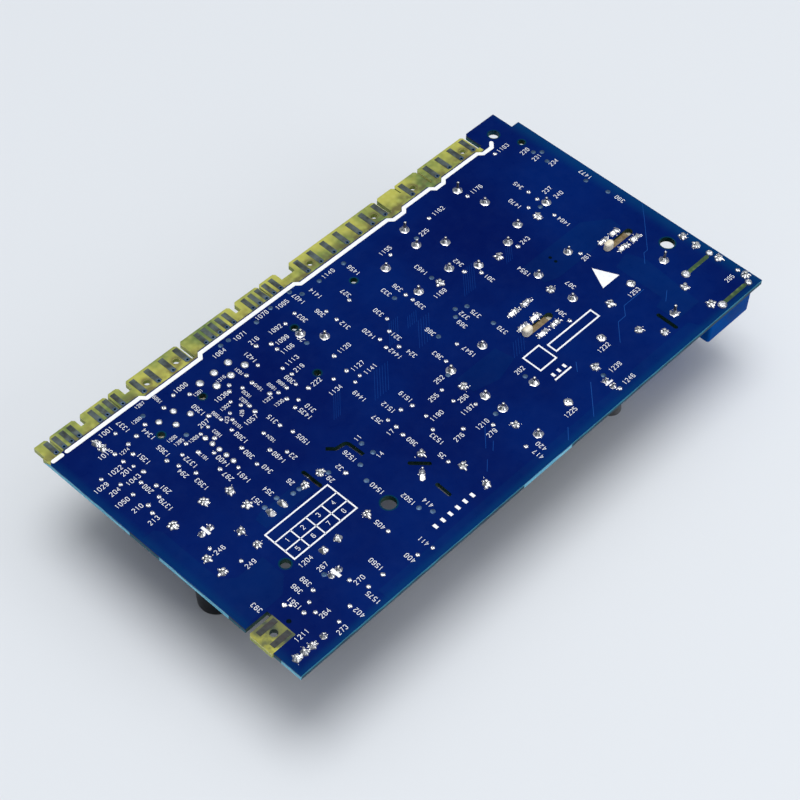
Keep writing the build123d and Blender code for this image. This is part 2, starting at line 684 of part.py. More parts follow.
with BuildPart() as header_5:
    with BuildSketch(Plane.XY.offset(underside)):
        for place in strip_places:
            with Locations(place):
                Rectangle(strip_pitch, strip_pitch)
    extrude(amount=-header_base)
save(header_5.part, "header_5")

with BuildPart() as header_pins:
    with BuildSketch(Plane.XY.offset(underside - header_base)):
        with Locations(*header_pin_places[0], *header_pin_places[1], *strip_places):
            Rectangle(pin_size, pin_size)
    extrude(amount=-pin_length)
save(header_pins.part, "header_pins")

# ================================================================ chips
for (name, chip_row), count in zip(chips.items(), chip_lead_counts):
    place, turn, (length, width, height), pitch, lead_width, four_sided = chip_row
    with BuildPart(seat(place, turn, chip_lift)) as chip:
        Box(length, width, height, align=on_seat)
        chamfer(chip.faces().sort_by(Axis.Z)[0].edges(), chip_lift * 2)
    save(chip.part, name)
    with BuildPart(seat(place, turn)) as chip_leads:
        sides = [(0, length, width), (90, width, length)] if four_sided else [(0, length, width)]
        for side_turn, _, depth in sides:
            spots = [
                ((i - (count - 1) / 2) * pitch, j * (depth + chip_lead_reach) / 2)
                for i in range(count)
                for j in (-1, 1)
            ]
            if side_turn:
                spots = [(y, x) for x, y in spots]
            lead = (chip_lead_reach, lead_width) if side_turn else (lead_width, chip_lead_reach)
            with Locations(*[(x, y, 0) for x, y in spots]):
                Box(*lead, lead_thickness, align=on_seat)
    save(chip_leads.part, f"{name}_leads")

with BuildPart(seat(crystal_place)) as crystal:
    Box(*crystal_size, align=on_seat)
    chamfer(crystal.edges().filter_by(Axis.Z), crystal_corner)
save(crystal.part, "crystal")

with BuildPart() as chip_parts:
    with BuildSketch(Plane.XY.offset(underside)):
        for (middle, spacing), columns, rows in zip(chip_fields, column_counts, row_counts):
            with Locations(at(*middle)):
                with GridLocations(*spacing, columns, rows):
                    Rectangle(chip_part[0], chip_part[1])
    extrude(amount=-chip_part[2])
save(chip_parts.part, "chip_parts")
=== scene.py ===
"""Dressed model of a washing machine control board, lying solder side up on its tallest parts."""

import logging
import random
from collections.abc import Callable, Sequence
from dataclasses import dataclass, field
from enum import Enum, IntEnum
from math import atan2, copysign, cos, exp, hypot, pi, radians, sin, sqrt
from typing import Any

import bmesh
import bpy
from mathutils import Matrix, Vector, noise


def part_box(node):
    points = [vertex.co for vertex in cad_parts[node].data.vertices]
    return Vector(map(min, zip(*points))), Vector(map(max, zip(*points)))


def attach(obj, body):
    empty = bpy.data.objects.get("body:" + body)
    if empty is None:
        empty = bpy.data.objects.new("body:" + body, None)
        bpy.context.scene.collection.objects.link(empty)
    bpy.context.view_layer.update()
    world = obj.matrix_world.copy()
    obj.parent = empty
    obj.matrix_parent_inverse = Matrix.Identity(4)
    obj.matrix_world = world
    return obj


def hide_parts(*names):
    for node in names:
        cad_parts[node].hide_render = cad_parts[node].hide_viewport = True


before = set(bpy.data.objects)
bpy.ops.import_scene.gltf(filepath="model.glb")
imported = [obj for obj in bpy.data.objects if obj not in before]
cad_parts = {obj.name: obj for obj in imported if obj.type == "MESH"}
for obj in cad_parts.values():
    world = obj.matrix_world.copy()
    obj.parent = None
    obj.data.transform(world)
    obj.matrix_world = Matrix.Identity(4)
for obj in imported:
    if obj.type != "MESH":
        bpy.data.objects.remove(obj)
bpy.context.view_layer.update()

log = logging.getLogger("control_board")

MM = 0.001
ACROSS, BACK, UP = Vector((1, 0, 0)), Vector((0, 1, 0)), Vector((0, 0, 1))
Flat = tuple[float, float]
Triple = tuple[float, float, float]
Colour = tuple[float, float, float, float]
Limits = tuple[float, float, float, float]
Ring = list[Vector]


def srgb(red: int, green: int, blue: int) -> Colour:
    """Linear colour of a display colour whose levels run from 0 to 255.

    Args:
        red: Level of red.
        green: Level of green.
        blue: Level of blue.

    Returns:
        The colour, opaque.
    """
    shares = [level / 255 for level in (red, green, blue)]
    linear = [s / 12.92 if s <= 0.04045 else ((s + 0.055) / 1.055) ** 2.4 for s in shares]
    return linear[0], linear[1], linear[2], 1.0


def angles(sides: int) -> list[float]:
    """Even steps round a full turn, in radians."""
    return [2 * pi * k / sides for k in range(sides)]


# ---------------------------------------------------------------- places


@dataclass(frozen=True)
class Plan:
    """Places on the board as a drill drawing gives them, in millimetres.

    Attributes:
        left: X of the board's left edge, in metres.
        datum: Y of the connector datum, in metres.
        top: Z of the solder side, in metres.
        under: Z of the component side, in metres.
        length: Length of the board, in millimetres.
        depth: Depth of the board, in millimetres.
    """

    left: float
    datum: float
    top: float
    under: float
    length: float = 176.3
    depth: float = 95.3

    @classmethod
    def of_board(cls, tongue_reach: float = 0.5, tip_reach: float = 0.3) -> "Plan":
        """Reads the plan's datums from the CAD board.

        Args:
            tongue_reach: How far the test tongue stands past the left edge, in millimetres.
            tip_reach: How far the connector tips stand past their datum, in millimetres.

        Returns:
            The plan of this board.
        """
        low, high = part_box("board")
        return cls(low.x + tongue_reach * MM, high.y - tip_reach * MM, high.z, low.z)

    def flat(self, across: float, down: float) -> Flat:
        """Model X and Y, in metres, of a place across and down the board."""
        return self.left + across * MM, self.datum - down * MM

    def spot(self, across: float, down: float, rise: float = 0.0) -> Vector:
        """Point above the solder side, the rise in millimetres."""
        x, y = self.flat(across, down)
        return Vector((x, y, self.top + rise * MM))


plan = Plan.of_board()


# ---------------------------------------------------------------- mesh work


class Shape:
    """Closed solids gathered into one mesh, each face with the number of its finish."""

    def __init__(self) -> None:
        """Starts with nothing in it."""
        self.points: list[Vector] = []
        self.faces: list[list[int]] = []
        self.kinds: list[int] = []

    def _face(self, corners: list[int], kind: int) -> None:
        """Adds one face."""
        self.faces.append(corners)
        self.kinds.append(kind)

    def loft(
        self,
        rings: Sequence[Ring],
        kinds: int | Sequence[int] = 0,
        closed: bool = False,
        caps: tuple[int, int] | None = None,
    ) -> None:
        """Skins rings of equal size one after another.

        Args:
            rings: The rings, each a list of points.
            kinds: Finish of all bands, or of each band between two rings.
            closed: Joins the last ring to the first, without caps.
            caps: Finishes of the first and the last cap, if they differ from their bands.
        """
        first, size = len(self.points), len(rings[0])
        for ring in rings:
            self.points.extend(ring)
        bands = len(rings) if closed else len(rings) - 1
        band_kinds = [kinds] * bands if isinstance(kinds, int) else list(kinds)
        for band in range(bands):
            a = first + band * size
            b = first + (band + 1) % len(rings) * size
            for i in range(size):
                j = (i + 1) % size
                self._face([a + i, a + j, b + j, b + i], band_kinds[band])
        if not closed:
            low_kind, high_kind = caps or (band_kinds[0], band_kinds[-1])
            last = first + (len(rings) - 1) * size
            self._face(list(range(first + size - 1, first - 1, -1)), low_kind)
            self._face(list(range(last, last + size)), high_kind)

    def prism(self, outline: Sequence[Flat], low: float, high: float, kind: int = 0) -> None:
        """Raises a flat outline from one height to another, all in metres."""
        self.loft([[Vector((x, y, z)) for x, y in outline] for z in (low, high)], kind)

    def button(
        self, centre: Flat, radius: float, levels: Sequence[Flat], sides: int,
        kinds: int | Sequence[int] = 0, caps: tuple[int, int] | None = None, turn: float = 0.0,
    ) -> None:
        """Skins a circle that is drawn in by a different inset at each height.

        Args:
            centre: Its middle.
            radius: Its radius before it is drawn in, in metres.
            levels: Height and inset of each ring, in metres.
            sides: Its corners.
            kinds: Finish of all bands or of each.
            caps: Finishes of the first and the last cap.
            turn: Direction of its first corner, in radians.
        """
        outlines = [(circle(radius - inset, sides, centre, turn), height) for height, inset in levels]
        self.loft([[Vector((x, y, z)) for x, y in outline] for outline, z in outlines], kinds, caps=caps)

    def block(
        self, centre: Flat, size: Flat, levels: Sequence[Flat], corner: float, steps: int,
        kinds: int | Sequence[int] = 0, caps: tuple[int, int] | None = None, least: float | None = None,
    ) -> None:
        """Skins a rounded rectangle that is drawn in by a different inset at each height.

        Args:
            centre: Its middle.
            size: Its width and depth, in metres.
            levels: Height and inset of each ring, in metres.
            corner: Radius of its corners, in metres.
            steps: Facets of a corner.
            kinds: Finish of all bands or of each.
            caps: Finishes of the first and the last cap.
            least: Radius down to which the corners are drawn in too; without it they keep theirs.
        """
        rings = []
        for height, inset in levels:
            radius = corner if least is None else max(least, corner - inset)
            outline = rounded(size[0] - 2 * inset, size[1] - 2 * inset, radius, centre, steps)
            rings.append([Vector((x, y, height)) for x, y in outline])
        self.loft(rings, kinds, caps=caps)

    def shell(
        self, low: Vector, high: Vector, rows: Sequence[Flat], corner: float, steps: int,
        kinds: int | Sequence[int] = 0, caps: tuple[int, int] | None = None, least: float = 0.1,
    ) -> None:
        """Skins a part that fills a box and is drawn in at each distance from the board.

        Args:
            low: Lowest corner of the box, in metres.
            high: Its highest corner.
            rows: Distance from the box's top and inset of each ring, in millimetres.
            corner: Radius of its upright corners, in millimetres.
            steps: Facets of a corner.
            kinds: Finish of all bands or of each.
            caps: Finishes of the first and the last cap.
            least: Radius down to which the corners are drawn in, in millimetres.
        """
        levels = [(high.z - down * MM, inset * MM) for down, inset in rows]
        size = (high.x - low.x, high.y - low.y)
        self.block(centre_of(low, high), size, levels, corner * MM, steps, kinds, caps, least * MM)

    def tube(
        self, path: Sequence[Vector], radius: float, sides: int = 8, kind: int = 0, closed: bool = False
    ) -> None:
        """Runs a round wire along a path.

        Args:
            path: Its middle, in metres.
            radius: Its radius, in metres.
            sides: Its corners.
            kind: Its finish.
            closed: It ends where it starts.
        """
        count = len(path)
        rings: list[Ring] = []
        side = Vector((0, 0, 0))
        for i, point in enumerate(path):
            before = path[i - 1] if i or closed else point
            after = path[(i + 1) % count] if i < count - 1 or closed else point
            along = (after - before).normalized()
            if side.length < 0.5:
                side = along.orthogonal().normalized()
            side = (side - along * side.dot(along)).normalized()
            up = along.cross(side)
            rings.append(hoop(point, side, up, radius, sides))
        self.loft(rings, kind, closed=closed)

    def make(self, name: str, finishes: Sequence[bpy.types.Material], angle: float) -> bpy.types.Object:
        """Makes the object.

        Args:
            name: Name of the piece.
            finishes: Materials in the order of the faces' kinds.
            angle: Edges sharper than this, in degrees, stay crisp.

        Returns:
            The new object, in the scene.
        """
        mesh = bpy.data.meshes.new(name)
        mesh.from_pydata([tuple(p) for p in self.points], [], self.faces)
        for material in finishes:
            mesh.materials.append(material)
        mesh.polygons.foreach_set("material_index", self.kinds)
        return finish_mesh(name, mesh, angle)


def finish_mesh(name: str, mesh: bpy.types.Mesh, angle: float) -> bpy.types.Object:
    """Turns all faces outward, shades the mesh smooth up to an angle and puts it in the scene.

    Args:
        name: Name of the new object.
        mesh: Its mesh.
        angle: Edges sharper than this, in degrees, stay crisp.

    Returns:
        The new object.
    """
    work = bmesh.new()
    work.from_mesh(mesh)
    bmesh.ops.recalc_face_normals(work, faces=work.faces)
    work.to_mesh(mesh)
    work.free()
    mesh.polygons.foreach_set("use_smooth", [True] * len(mesh.polygons))
    mesh.set_sharp_from_angle(angle=radians(angle))
    made = bpy.data.objects.new(name, mesh)
    bpy.context.scene.collection.objects.link(made)
    return made


def settle(piece: bpy.types.Object, slot: str, *nodes: str) -> bpy.types.Object:
    """Fixes a piece to the board's body.

    Args:
        piece: The new piece.
        slot: The record's material slot; not used.
        nodes: CAD nodes that it stands for.

    Returns:
        The same piece.
    """
    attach(piece, "root")
    if nodes:
        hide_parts(*nodes)
    return piece


def circle(radius: float, sides: int = 24, centre: Flat = (0.0, 0.0), turn: float = 0.0) -> list[Flat]:
    """Corners of a regular outline, the turn in radians."""
    return [(centre[0] + radius * cos(turn + a), centre[1] + radius * sin(turn + a)) for a in angles(sides)]


def rounded(
    width: float, depth: float, corner: float, centre: Flat = (0.0, 0.0), steps: int = 4
) -> list[Flat]:
    """Corners of a rectangle with rounded corners, in metres.

    Args:
        width: Its width.
        depth: Its depth.
        corner: Radius of its corners.
        centre: Its middle.
        steps: Facets of a corner.

    Returns:
        The corners, counter-clockwise.
    """
    corner = min(corner, width / 2 - 1e-6, depth / 2 - 1e-6)
    outline = []
    for quarter, (sx, sy) in enumerate(((1, 1), (-1, 1), (-1, -1), (1, -1))):
        cx = centre[0] + sx * (width / 2 - corner)
        cy = centre[1] + sy * (depth / 2 - corner)
        for step in range(steps + 1):
            a = pi / 2 * (quarter + step / steps)
            outline.append((cx + corner * cos(a), cy + corner * sin(a)))
    return outline


def stroke(path: Sequence[Flat], width: float, steps: int = 6) -> list[Flat]:
    """Outline of a line with mitred bends and round ends.

    Args:
        path: Its middle, in metres.
        width: Its width, in metres.
        steps: Sides of each round end.

    Returns:
        The outline, counter-clockwise.
    """
    half = width / 2
    lefts, rights = offsets(path, half)
    outline = list(rights)
    for end, start in ((path[-1], path[-2]), (path[0], path[1])):
        turn = atan2(end[1] - start[1], end[0] - start[0])
        for step in range(1, steps):
            a = turn - pi / 2 + pi * step / steps
            outline.append((end[0] + half * cos(a), end[1] + half * sin(a)))
        if end is path[-1]:
            outline.extend(reversed(lefts))
    return outline


def offsets(path: Sequence[Flat], half: float, closed: bool = False) -> tuple[list[Flat], list[Flat]]:
    """Points either side of a path, mitred at its bends.

    Args:
        path: The middle line.
        half: Distance of each side from it.
        closed: The path ends where it starts.

    Returns:
        The points on its left and on its right.
    """
    lefts, rights = [], []
    count = len(path)
    for i, (x, y) in enumerate(path):
        before = path[i - 1] if i or closed else path[i]
        after = path[(i + 1) % count] if i < count - 1 or closed else path[i]
        ways = []
        for (ax, ay), (bx, by) in ((before, (x, y)), ((x, y), after)):
            length = hypot(bx - ax, by - ay)
            if length > 0:
                ways.append(((bx - ax) / length, (by - ay) / length))
        dx, dy = sum(w[0] for w in ways), sum(w[1] for w in ways)
        size = hypot(dx, dy) or 1.0
        nx, ny = -dy / size, dx / size
        stretch = 1 / max(0.5, abs(nx * -ways[0][1] + ny * ways[0][0]))
        lefts.append((x + nx * half * stretch, y + ny * half * stretch))
        rights.append((x - nx * half * stretch, y - ny * half * stretch))
    return lefts, rights


def ribbon(
    shape: Shape, path: Sequence[Flat], width: float, low: float, high: float,
    closed: bool = False, kind: int = 0,
) -> None:
    """Adds a flat line with square ends as a closed solid, all in metres.

    Args:
        shape: Where it goes.
        path: Its middle.
        width: Its width.
        low: Height of its underside.
        high: Height of its top.
        closed: It ends where it starts.
        kind: Its finish.
    """
    lefts, rights = offsets(path, width / 2, closed)
    rings = [
        [Vector((*a, low)), Vector((*b, low)), Vector((*b, high)), Vector((*a, high))]
        for a, b in zip(lefts, rights)
    ]
    shape.loft(rings, kind, closed=closed)


def hoop(centre: Vector, first: Vector, second: Vector, radius: float, sides: int) -> Ring:
    """Ring of points about a centre, from a first direction round towards a second one."""
    return [centre + (first * x + second * y) * radius for x, y in circle(1.0, sides)]


def room(node: str) -> tuple[Vector, Vector, Vector]:
    """Lowest corner, highest corner and middle of a CAD node, in metres."""
    low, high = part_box(node)
    return low, high, (low + high) / 2


def centre_of(low: Vector, high: Vector) -> Flat:
    """Middle of a box as seen from above."""
    return (low.x + high.x) / 2, (low.y + high.y) / 2


def opened(node: str) -> bmesh.types.BMesh:
    """Copy of a CAD node's mesh to work on, its split corners joined."""
    work = bmesh.new()
    work.from_mesh(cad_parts[node].data)
    bmesh.ops.remove_doubles(work, verts=work.verts, dist=1e-6)
    return work


def closed_up(
    work: bmesh.types.BMesh, name: str, finishes: Sequence[bpy.types.Material], angle: float
) -> bpy.types.Object:
    """Makes an object of a worked mesh.

    Args:
        work: The worked mesh, which is used up.
        name: Name of the new object.
        finishes: Its materials.
        angle: Edges sharper than this, in degrees, stay crisp.

    Returns:
        The new object, in the scene.
    """
    mesh = bpy.data.meshes.new(name)
    work.to_mesh(mesh)
    work.free()
    for material in finishes:
        mesh.materials.append(material)
    return finish_mesh(name, mesh, angle)


def islands(node: str) -> list[tuple[Vector, Vector]]:
    """Boxes of the separate solids of a CAD node.

    Args:
        node: The node's name.

    Returns:
        Lowest and highest corner of each solid, from left to right.
    """
    work = opened(node)
    seen: set[int] = set()
    boxes = []
    for start in work.verts:
        if start.index in seen:
            continue
        heap, group = [start], []
        seen.add(start.index)
        while heap:
            vert = heap.pop()
            group.append(vert.co.copy())
            for edge in vert.link_edges:
                other = edge.other_vert(vert)
                if other.index not in seen:
                    seen.add(other.index)
                    heap.append(other)
        low = Vector([min(p[i] for p in group) for i in range(3)])
        high = Vector([max(p[i] for p in group) for i in range(3)])
        boxes.append((low, high))
    work.free()
    return sorted(boxes, key=lambda pair: (round(pair[0].x, 5), pair[0].y))


# ---------------------------------------------------------------- shader work


class Graph:
    """Lays out the nodes of one material, world or group."""

    def __init__(self, tree: bpy.types.NodeTree) -> None:
        """Takes the tree to work in."""
        self.tree = tree

    def feed(self, node: bpy.types.Node, values: dict[Any, Any]) -> bpy.types.Node:
        """Sets or links inputs of a node.

        Args:
            node: The node.
            values: Constants or sockets for its inputs, by name or number.

        Returns:
            The same node.
        """
        for name, value in values.items():
            if isinstance(value, bpy.types.NodeSocket):
                self.tree.links.new(value, node.inputs[name])
            else:
                node.inputs[name].default_value = value
        return node

    def add(self, kind: str, inputs: dict[Any, Any] | None = None, **settings: Any) -> bpy.types.Node:
        """Adds a node.

        Args:
            kind: Its Blender type.
            inputs: Constants or sockets for its inputs.
            settings: Its own properties.

        Returns:
            The node.
        """
        made = self.tree.nodes.new(kind)
        for name, value in settings.items():
            setattr(made, name, value)
        return self.feed(made, inputs or {})

    def group(self, tree: bpy.types.NodeTree, inputs: dict[str, Any]) -> bpy.types.NodeOutputs:
        """Places a shared group with its own values and gives its outputs."""
        return self.add("ShaderNodeGroup", inputs, node_tree=tree).outputs

    def maths(self, operation: str, first: Any, second: Any) -> bpy.types.NodeSocket:
        """Result of one sum on two numbers or sockets."""
        return self.add("ShaderNodeMath", {0: first, 1: second}, operation=operation).outputs[0]

    def plus(self, first: Any, second: Any) -> bpy.types.NodeSocket:
        """Sum of two numbers or sockets."""
        return self.maths("ADD", first, second)

    def times(self, first: Any, second: Any) -> bpy.types.NodeSocket:
        """Product of two numbers or sockets."""
        return self.maths("MULTIPLY", first, second)

    def ranged(self, value: Any, low: Any, high: Any, ends: Flat = (0.0, 1.0)) -> bpy.types.NodeSocket:
        """A value moved smoothly from one range to another."""
        inputs = {"Value": value, "From Min": low, "From Max": high, "To Min": ends[0], "To Max": ends[1]}
        return self.add("ShaderNodeMapRange", inputs, interpolation_type="SMOOTHSTEP").outputs["Result"]

    def span(self, mask: Any, ends: Flat) -> bpy.types.NodeSocket:
        """A mask moved smoothly to between two ends."""
        return self.ranged(mask, 0.0, 1.0, ends)

    def blend(self, share: Any, first: Any, second: Any) -> bpy.types.NodeSocket:
        """Two colours mixed by a share."""
        return self.add("ShaderNodeMix", {0: share, 6: first, 7: second}, data_type="RGBA").outputs[2]

    def place(self) -> bpy.types.NodeSocket:
        """Place on the model."""
        return self.add("ShaderNodeTexCoord").outputs["Object"]

    def axes(self, vector: bpy.types.NodeSocket) -> bpy.types.NodeOutputs:
        """The three parts of a vector."""
        return self.add("ShaderNodeSeparateXYZ", {0: vector}).outputs

    def cloud(self, place: Any, scale: Any, detail: float, rough: float = 0.5) -> bpy.types.NodeSocket:
        """Smooth noise at a place."""
        inputs = {"Vector": place, "Scale": scale, "Detail": detail, "Roughness": rough}
        return self.add("ShaderNodeTexNoise", inputs).outputs["Fac"]

    def bump(self, height: Any, distance: Any, strength: Any) -> bpy.types.NodeSocket:
        """Normal of a surface raised by a height."""
        inputs = {"Height": height, "Distance": distance, "Strength": strength}
        return self.add("ShaderNodeBump", inputs).outputs["Normal"]


FLOAT, TINT, ARROW = "NodeSocketFloat", "NodeSocketColor", "NodeSocketVector"
BLACK, WHITE = (0.0, 0.0, 0.0, 1.0), (1.0, 1.0, 1.0, 1.0)
TINTED = (("Color", TINT), ("Mask", FLOAT))
MASKED = (("Mask", FLOAT),)
SocketRow = tuple[str, str, Any]


def new_group(
    name: str, inputs: Sequence[SocketRow], outputs: Sequence[tuple[str, str]]
) -> tuple[Graph, bpy.types.NodeOutputs, bpy.types.Node]:
    """Starts a shader group with named sockets.

    Args:
        name: Name of the group.
        inputs: Name, socket type and default of each input.
        outputs: Name and socket type of each output.

    Returns:
        The graph to fill, the group's inputs and the node that takes its outputs.
    """
    tree = bpy.data.node_groups.new(name, "ShaderNodeTree")
    for label, kind, value in inputs:
        tree.interface.new_socket(name=label, in_out="INPUT", socket_type=kind).default_value = value
    for label, kind in outputs:
        tree.interface.new_socket(name=label, in_out="OUTPUT", socket_type=kind)
    return Graph(tree), tree.nodes.new("NodeGroupInput").outputs, tree.nodes.new("NodeGroupOutput")


class Effects:
    """Shader groups that several finishes share, each built once."""

    def __init__(self) -> None:
        """Builds every group."""
        self.mottle = self._mottle()
        self.grain = self._grain()
        self.weave = self._weave()
        self.scorch = self._scorch()
        self.wear = self._wear()
        self.dust = self._dust()
        self.streaks = self._streaks()

    def patches(
        self, graph: Graph, dark: Colour, light: Colour, scale: float, spread: float
    ) -> bpy.types.NodeOutputs:
        """Places the group of soft patches with its values."""
        return graph.group(self.mottle, {"Dark": dark, "Light": light, "Scale": scale, "Spread": spread})

    def stain(self, graph: Graph, scale: float, spread: float) -> bpy.types.NodeSocket:
        """Mask of soft patches."""
        return self.patches(graph, BLACK, WHITE, scale, spread)["Mask"]

    def skin(self, graph: Graph, grain: Flat, strength: float) -> bpy.types.NodeSocket:
        """Normal of a fine uneven surface."""
        inputs = {"Scale": grain[0], "Height": grain[1], "Strength": strength}
        return graph.group(self.grain, inputs)["Normal"]

    def _tinted(
        self, graph: Graph, taken: bpy.types.Node, mask: Any, colours: Sequence[Any]
    ) -> bpy.types.NodeTree:
        """Ends a group that puts out a mask and two colours mixed by it."""
        graph.feed(taken, {"Color": graph.blend(mask, *colours), "Mask": mask})
        return graph.tree

    def _mottle(self) -> bpy.types.NodeTree:
        """Two colours mixed in soft patches."""
        rows = [
            ("Dark", TINT, BLACK), ("Light", TINT, WHITE), ("Scale", FLOAT, 100.0), ("Spread", FLOAT, 0.2)
        ]
        graph, given, taken = new_group("Mottle", rows, TINTED)
        low, high = (graph.maths(way, 0.5, given["Spread"]) for way in ("SUBTRACT", "ADD"))
        mask = graph.ranged(graph.cloud(graph.place(), given["Scale"], 4.0), low, high)
        return self._tinted(graph, taken, mask, (given["Dark"], given["Light"]))

    def _grain(self) -> bpy.types.NodeTree:
        """Fine uneven surface."""
        rows = [("Scale", FLOAT, 3000.0), ("Height", FLOAT, 0.00002), ("Strength", FLOAT, 0.5)]
        graph, given, taken = new_group("Grain", rows, [("Normal", ARROW), ("Mask", FLOAT)])
        fine = graph.cloud(graph.place(), given["Scale"], 3.0)
        graph.feed(taken, {"Normal": graph.bump(fine, given["Height"], given["Strength"]), "Mask": fine})
        return graph.tree

    def _weave(self) -> bpy.types.NodeTree:
        """Glass cloth under resin: two crossing sets of yarns."""
        rows = [("Yarns", FLOAT, 200.0), ("Uneven", FLOAT, 1.5)]
        graph, given, taken = new_group("Glass cloth", rows, MASKED)
        inputs = {
            "Vector": graph.place(), "Scale": given["Yarns"], "Distortion": given["Uneven"], "Detail": 1.0
        }
        bands = [graph.add("ShaderNodeTexWave", inputs, bands_direction=way).outputs["Fac"] for way in "XY"]
        graph.feed(taken, {"Mask": graph.times(*bands)})
        return graph.tree

    def _scorch(self) -> bpy.types.NodeTree:
        """Browning round one place, the strongest of those before it and this."""
        rows = [("Mask", FLOAT, 0.0), ("Middle", ARROW, (0, 0, 0)), ("Reach", FLOAT, 0.002)]
        graph, given, taken = new_group("Scorch", rows, MASKED)
        place = graph.place()
        away = graph.add("ShaderNodeVectorMath", {0: place, 1: given["Middle"]}, operation="DISTANCE")
        share = graph.maths("DIVIDE", away.outputs["Value"], given["Reach"])
        uneven = graph.times(graph.cloud(place, 700.0, 2.0), 0.7)
        near = graph.ranged(graph.plus(share, uneven), 1.5, 0.7)
        graph.feed(taken, {"Mask": graph.maths("MAXIMUM", near, given["Mask"])})
        return graph.tree

    def _wear(self) -> bpy.types.NodeTree:
        """Edges rubbed to another colour."""
        rows = [("Color", TINT, BLACK), ("Worn", TINT, WHITE), ("Amount", FLOAT, 0.3)]
        graph, given, taken = new_group("Worn edges", rows, TINTED)
        sharp = graph.ranged(graph.add("ShaderNodeNewGeometry").outputs["Pointiness"], 0.52, 0.62)
        patchy = graph.ranged(graph.cloud(graph.place(), 900.0, 3.0), 0.42, 0.6)
        mask = graph.times(graph.times(sharp, patchy), given["Amount"])
        return self._tinted(graph, taken, mask, (given["Color"], given["Worn"]))

    def _dust(self) -> bpy.types.NodeTree:
        """Dust that lies on faces turned upward."""
        rows = [("Color", TINT, BLACK), ("Dust", TINT, srgb(150, 148, 140)), ("Amount", FLOAT, 0.1)]
        graph, given, taken = new_group("Dust", rows, TINTED)
        upward = graph.axes(graph.add("ShaderNodeNewGeometry").outputs["Normal"])["Z"]
        lying = graph.ranged(upward, 0.2, 0.9)
        patchy = graph.ranged(graph.cloud(graph.place(), 260.0, 6.0, 0.7), 0.4, 0.75)
        mask = graph.times(graph.times(lying, patchy), given["Amount"])
        return self._tinted(graph, taken, mask, (given["Color"], given["Dust"]))

    def _streaks(self) -> bpy.types.NodeTree:
        """Fine scratches that run one way."""
        rows = [("Scale", FLOAT, 800.0), ("Stretch", ARROW, (1.0, 0.08, 1.0))]
        graph, given, taken = new_group("Streaks", rows, MASKED)
        drawn = graph.add(
            "ShaderNodeVectorMath", {0: graph.place(), 1: given["Stretch"]}, operation="MULTIPLY"
        )
        fine = graph.cloud(drawn.outputs[0], given["Scale"], 4.0)
        graph.feed(taken, {"Mask": graph.ranged(fine, 0.35, 0.65)})
        return graph.tree


class Workshop:
    """Keeps the shared effects and every finish that has been mixed."""

    def __init__(self) -> None:
        """Starts with the effects and no finishes."""
        self.effects = Effects()
        self.mixed: dict[str, bpy.types.Material] = {}

    def get(self, finish: "Finish") -> bpy.types.Material:
        """Material of a finish, made at its first use."""
        if finish.name not in self.mixed:
            material = bpy.data.materials.new(finish.name)
            material.use_nodes = True
            material.node_tree.nodes.clear()
            graph = Graph(material.node_tree)
            shader = graph.add("ShaderNodeBsdfPrincipled")
            graph.feed(shader, finish.mix(graph, self.effects))
            graph.add("ShaderNodeOutputMaterial", {"Surface": shader.outputs[0]})
            material.diffuse_color = finish.look
            self.mixed[finish.name] = material
        return self.mixed[finish.name]

    def all(self, *finishes: "Finish") -> list[bpy.types.Material]:
        """Materials of several finishes."""
        return [self.get(finish) for finish in finishes]


@dataclass(frozen=True)
class Finish:
    """What every finish has.

    Attributes:
        name: Name of the material.
        dark: Darker or deeper of its two colours.
        look: Lighter or fuller of its two colours.
    """

    name: str
    dark: Colour
    look: Colour

    def mix(self, graph: Graph, effects: Effects) -> dict[str, Any]:
        """Lays out the material's nodes.

        Args:
            graph: Where they go.
            effects: The shared groups.

        Returns:
            Constants and sockets for the shader's inputs.
        """
        raise NotImplementedError


@dataclass(frozen=True)
class Moulded(Finish):
    """Plastic, resin or lacquer with soft patches, fine grain, rubbed edges and some dust.

    Attributes:
        rough: Lowest and highest roughness.
        patch: Patches in a metre.
        spread: Softness of the patches.
        grain: Bumps in a metre and their height in metres.
        gloss: Specular level.
        worn: Colour of rubbed edges and how much of it.
        dust: How much dust lies on top.
        coat: Weight of a clear coat.
    """

    rough: Flat = (0.35, 0.5)
    patch: float = 120.0
    spread: float = 0.25
    grain: Flat = (3000.0, 0.00002)
    gloss: float = 0.5
    worn: tuple[Colour, float] = (srgb(150, 150, 150), 0.2)
    dust: float = 0.08
    coat: float = 0.0

    def mix(self, graph: Graph, effects: Effects) -> dict[str, Any]:
        """Inputs of the shader, from patches, rubbed edges, dust and grain."""
        base = effects.patches(graph, self.dark, self.look, self.patch, self.spread)
        inputs = {"Color": base["Color"], "Worn": self.worn[0], "Amount": self.worn[1]}
        rubbed = graph.group(effects.wear, inputs)
        dusted = graph.group(effects.dust, {"Color": rubbed["Color"], "Amount": self.dust})
        return {
            "Base Color": dusted["Color"],
            "Roughness": graph.span(base["Mask"], self.rough),
            "Specular IOR Level": self.gloss,
            "Coat Weight": self.coat,
            "Coat Roughness": 0.12,
            "Normal": effects.skin(graph, self.grain, 0.6),
        }


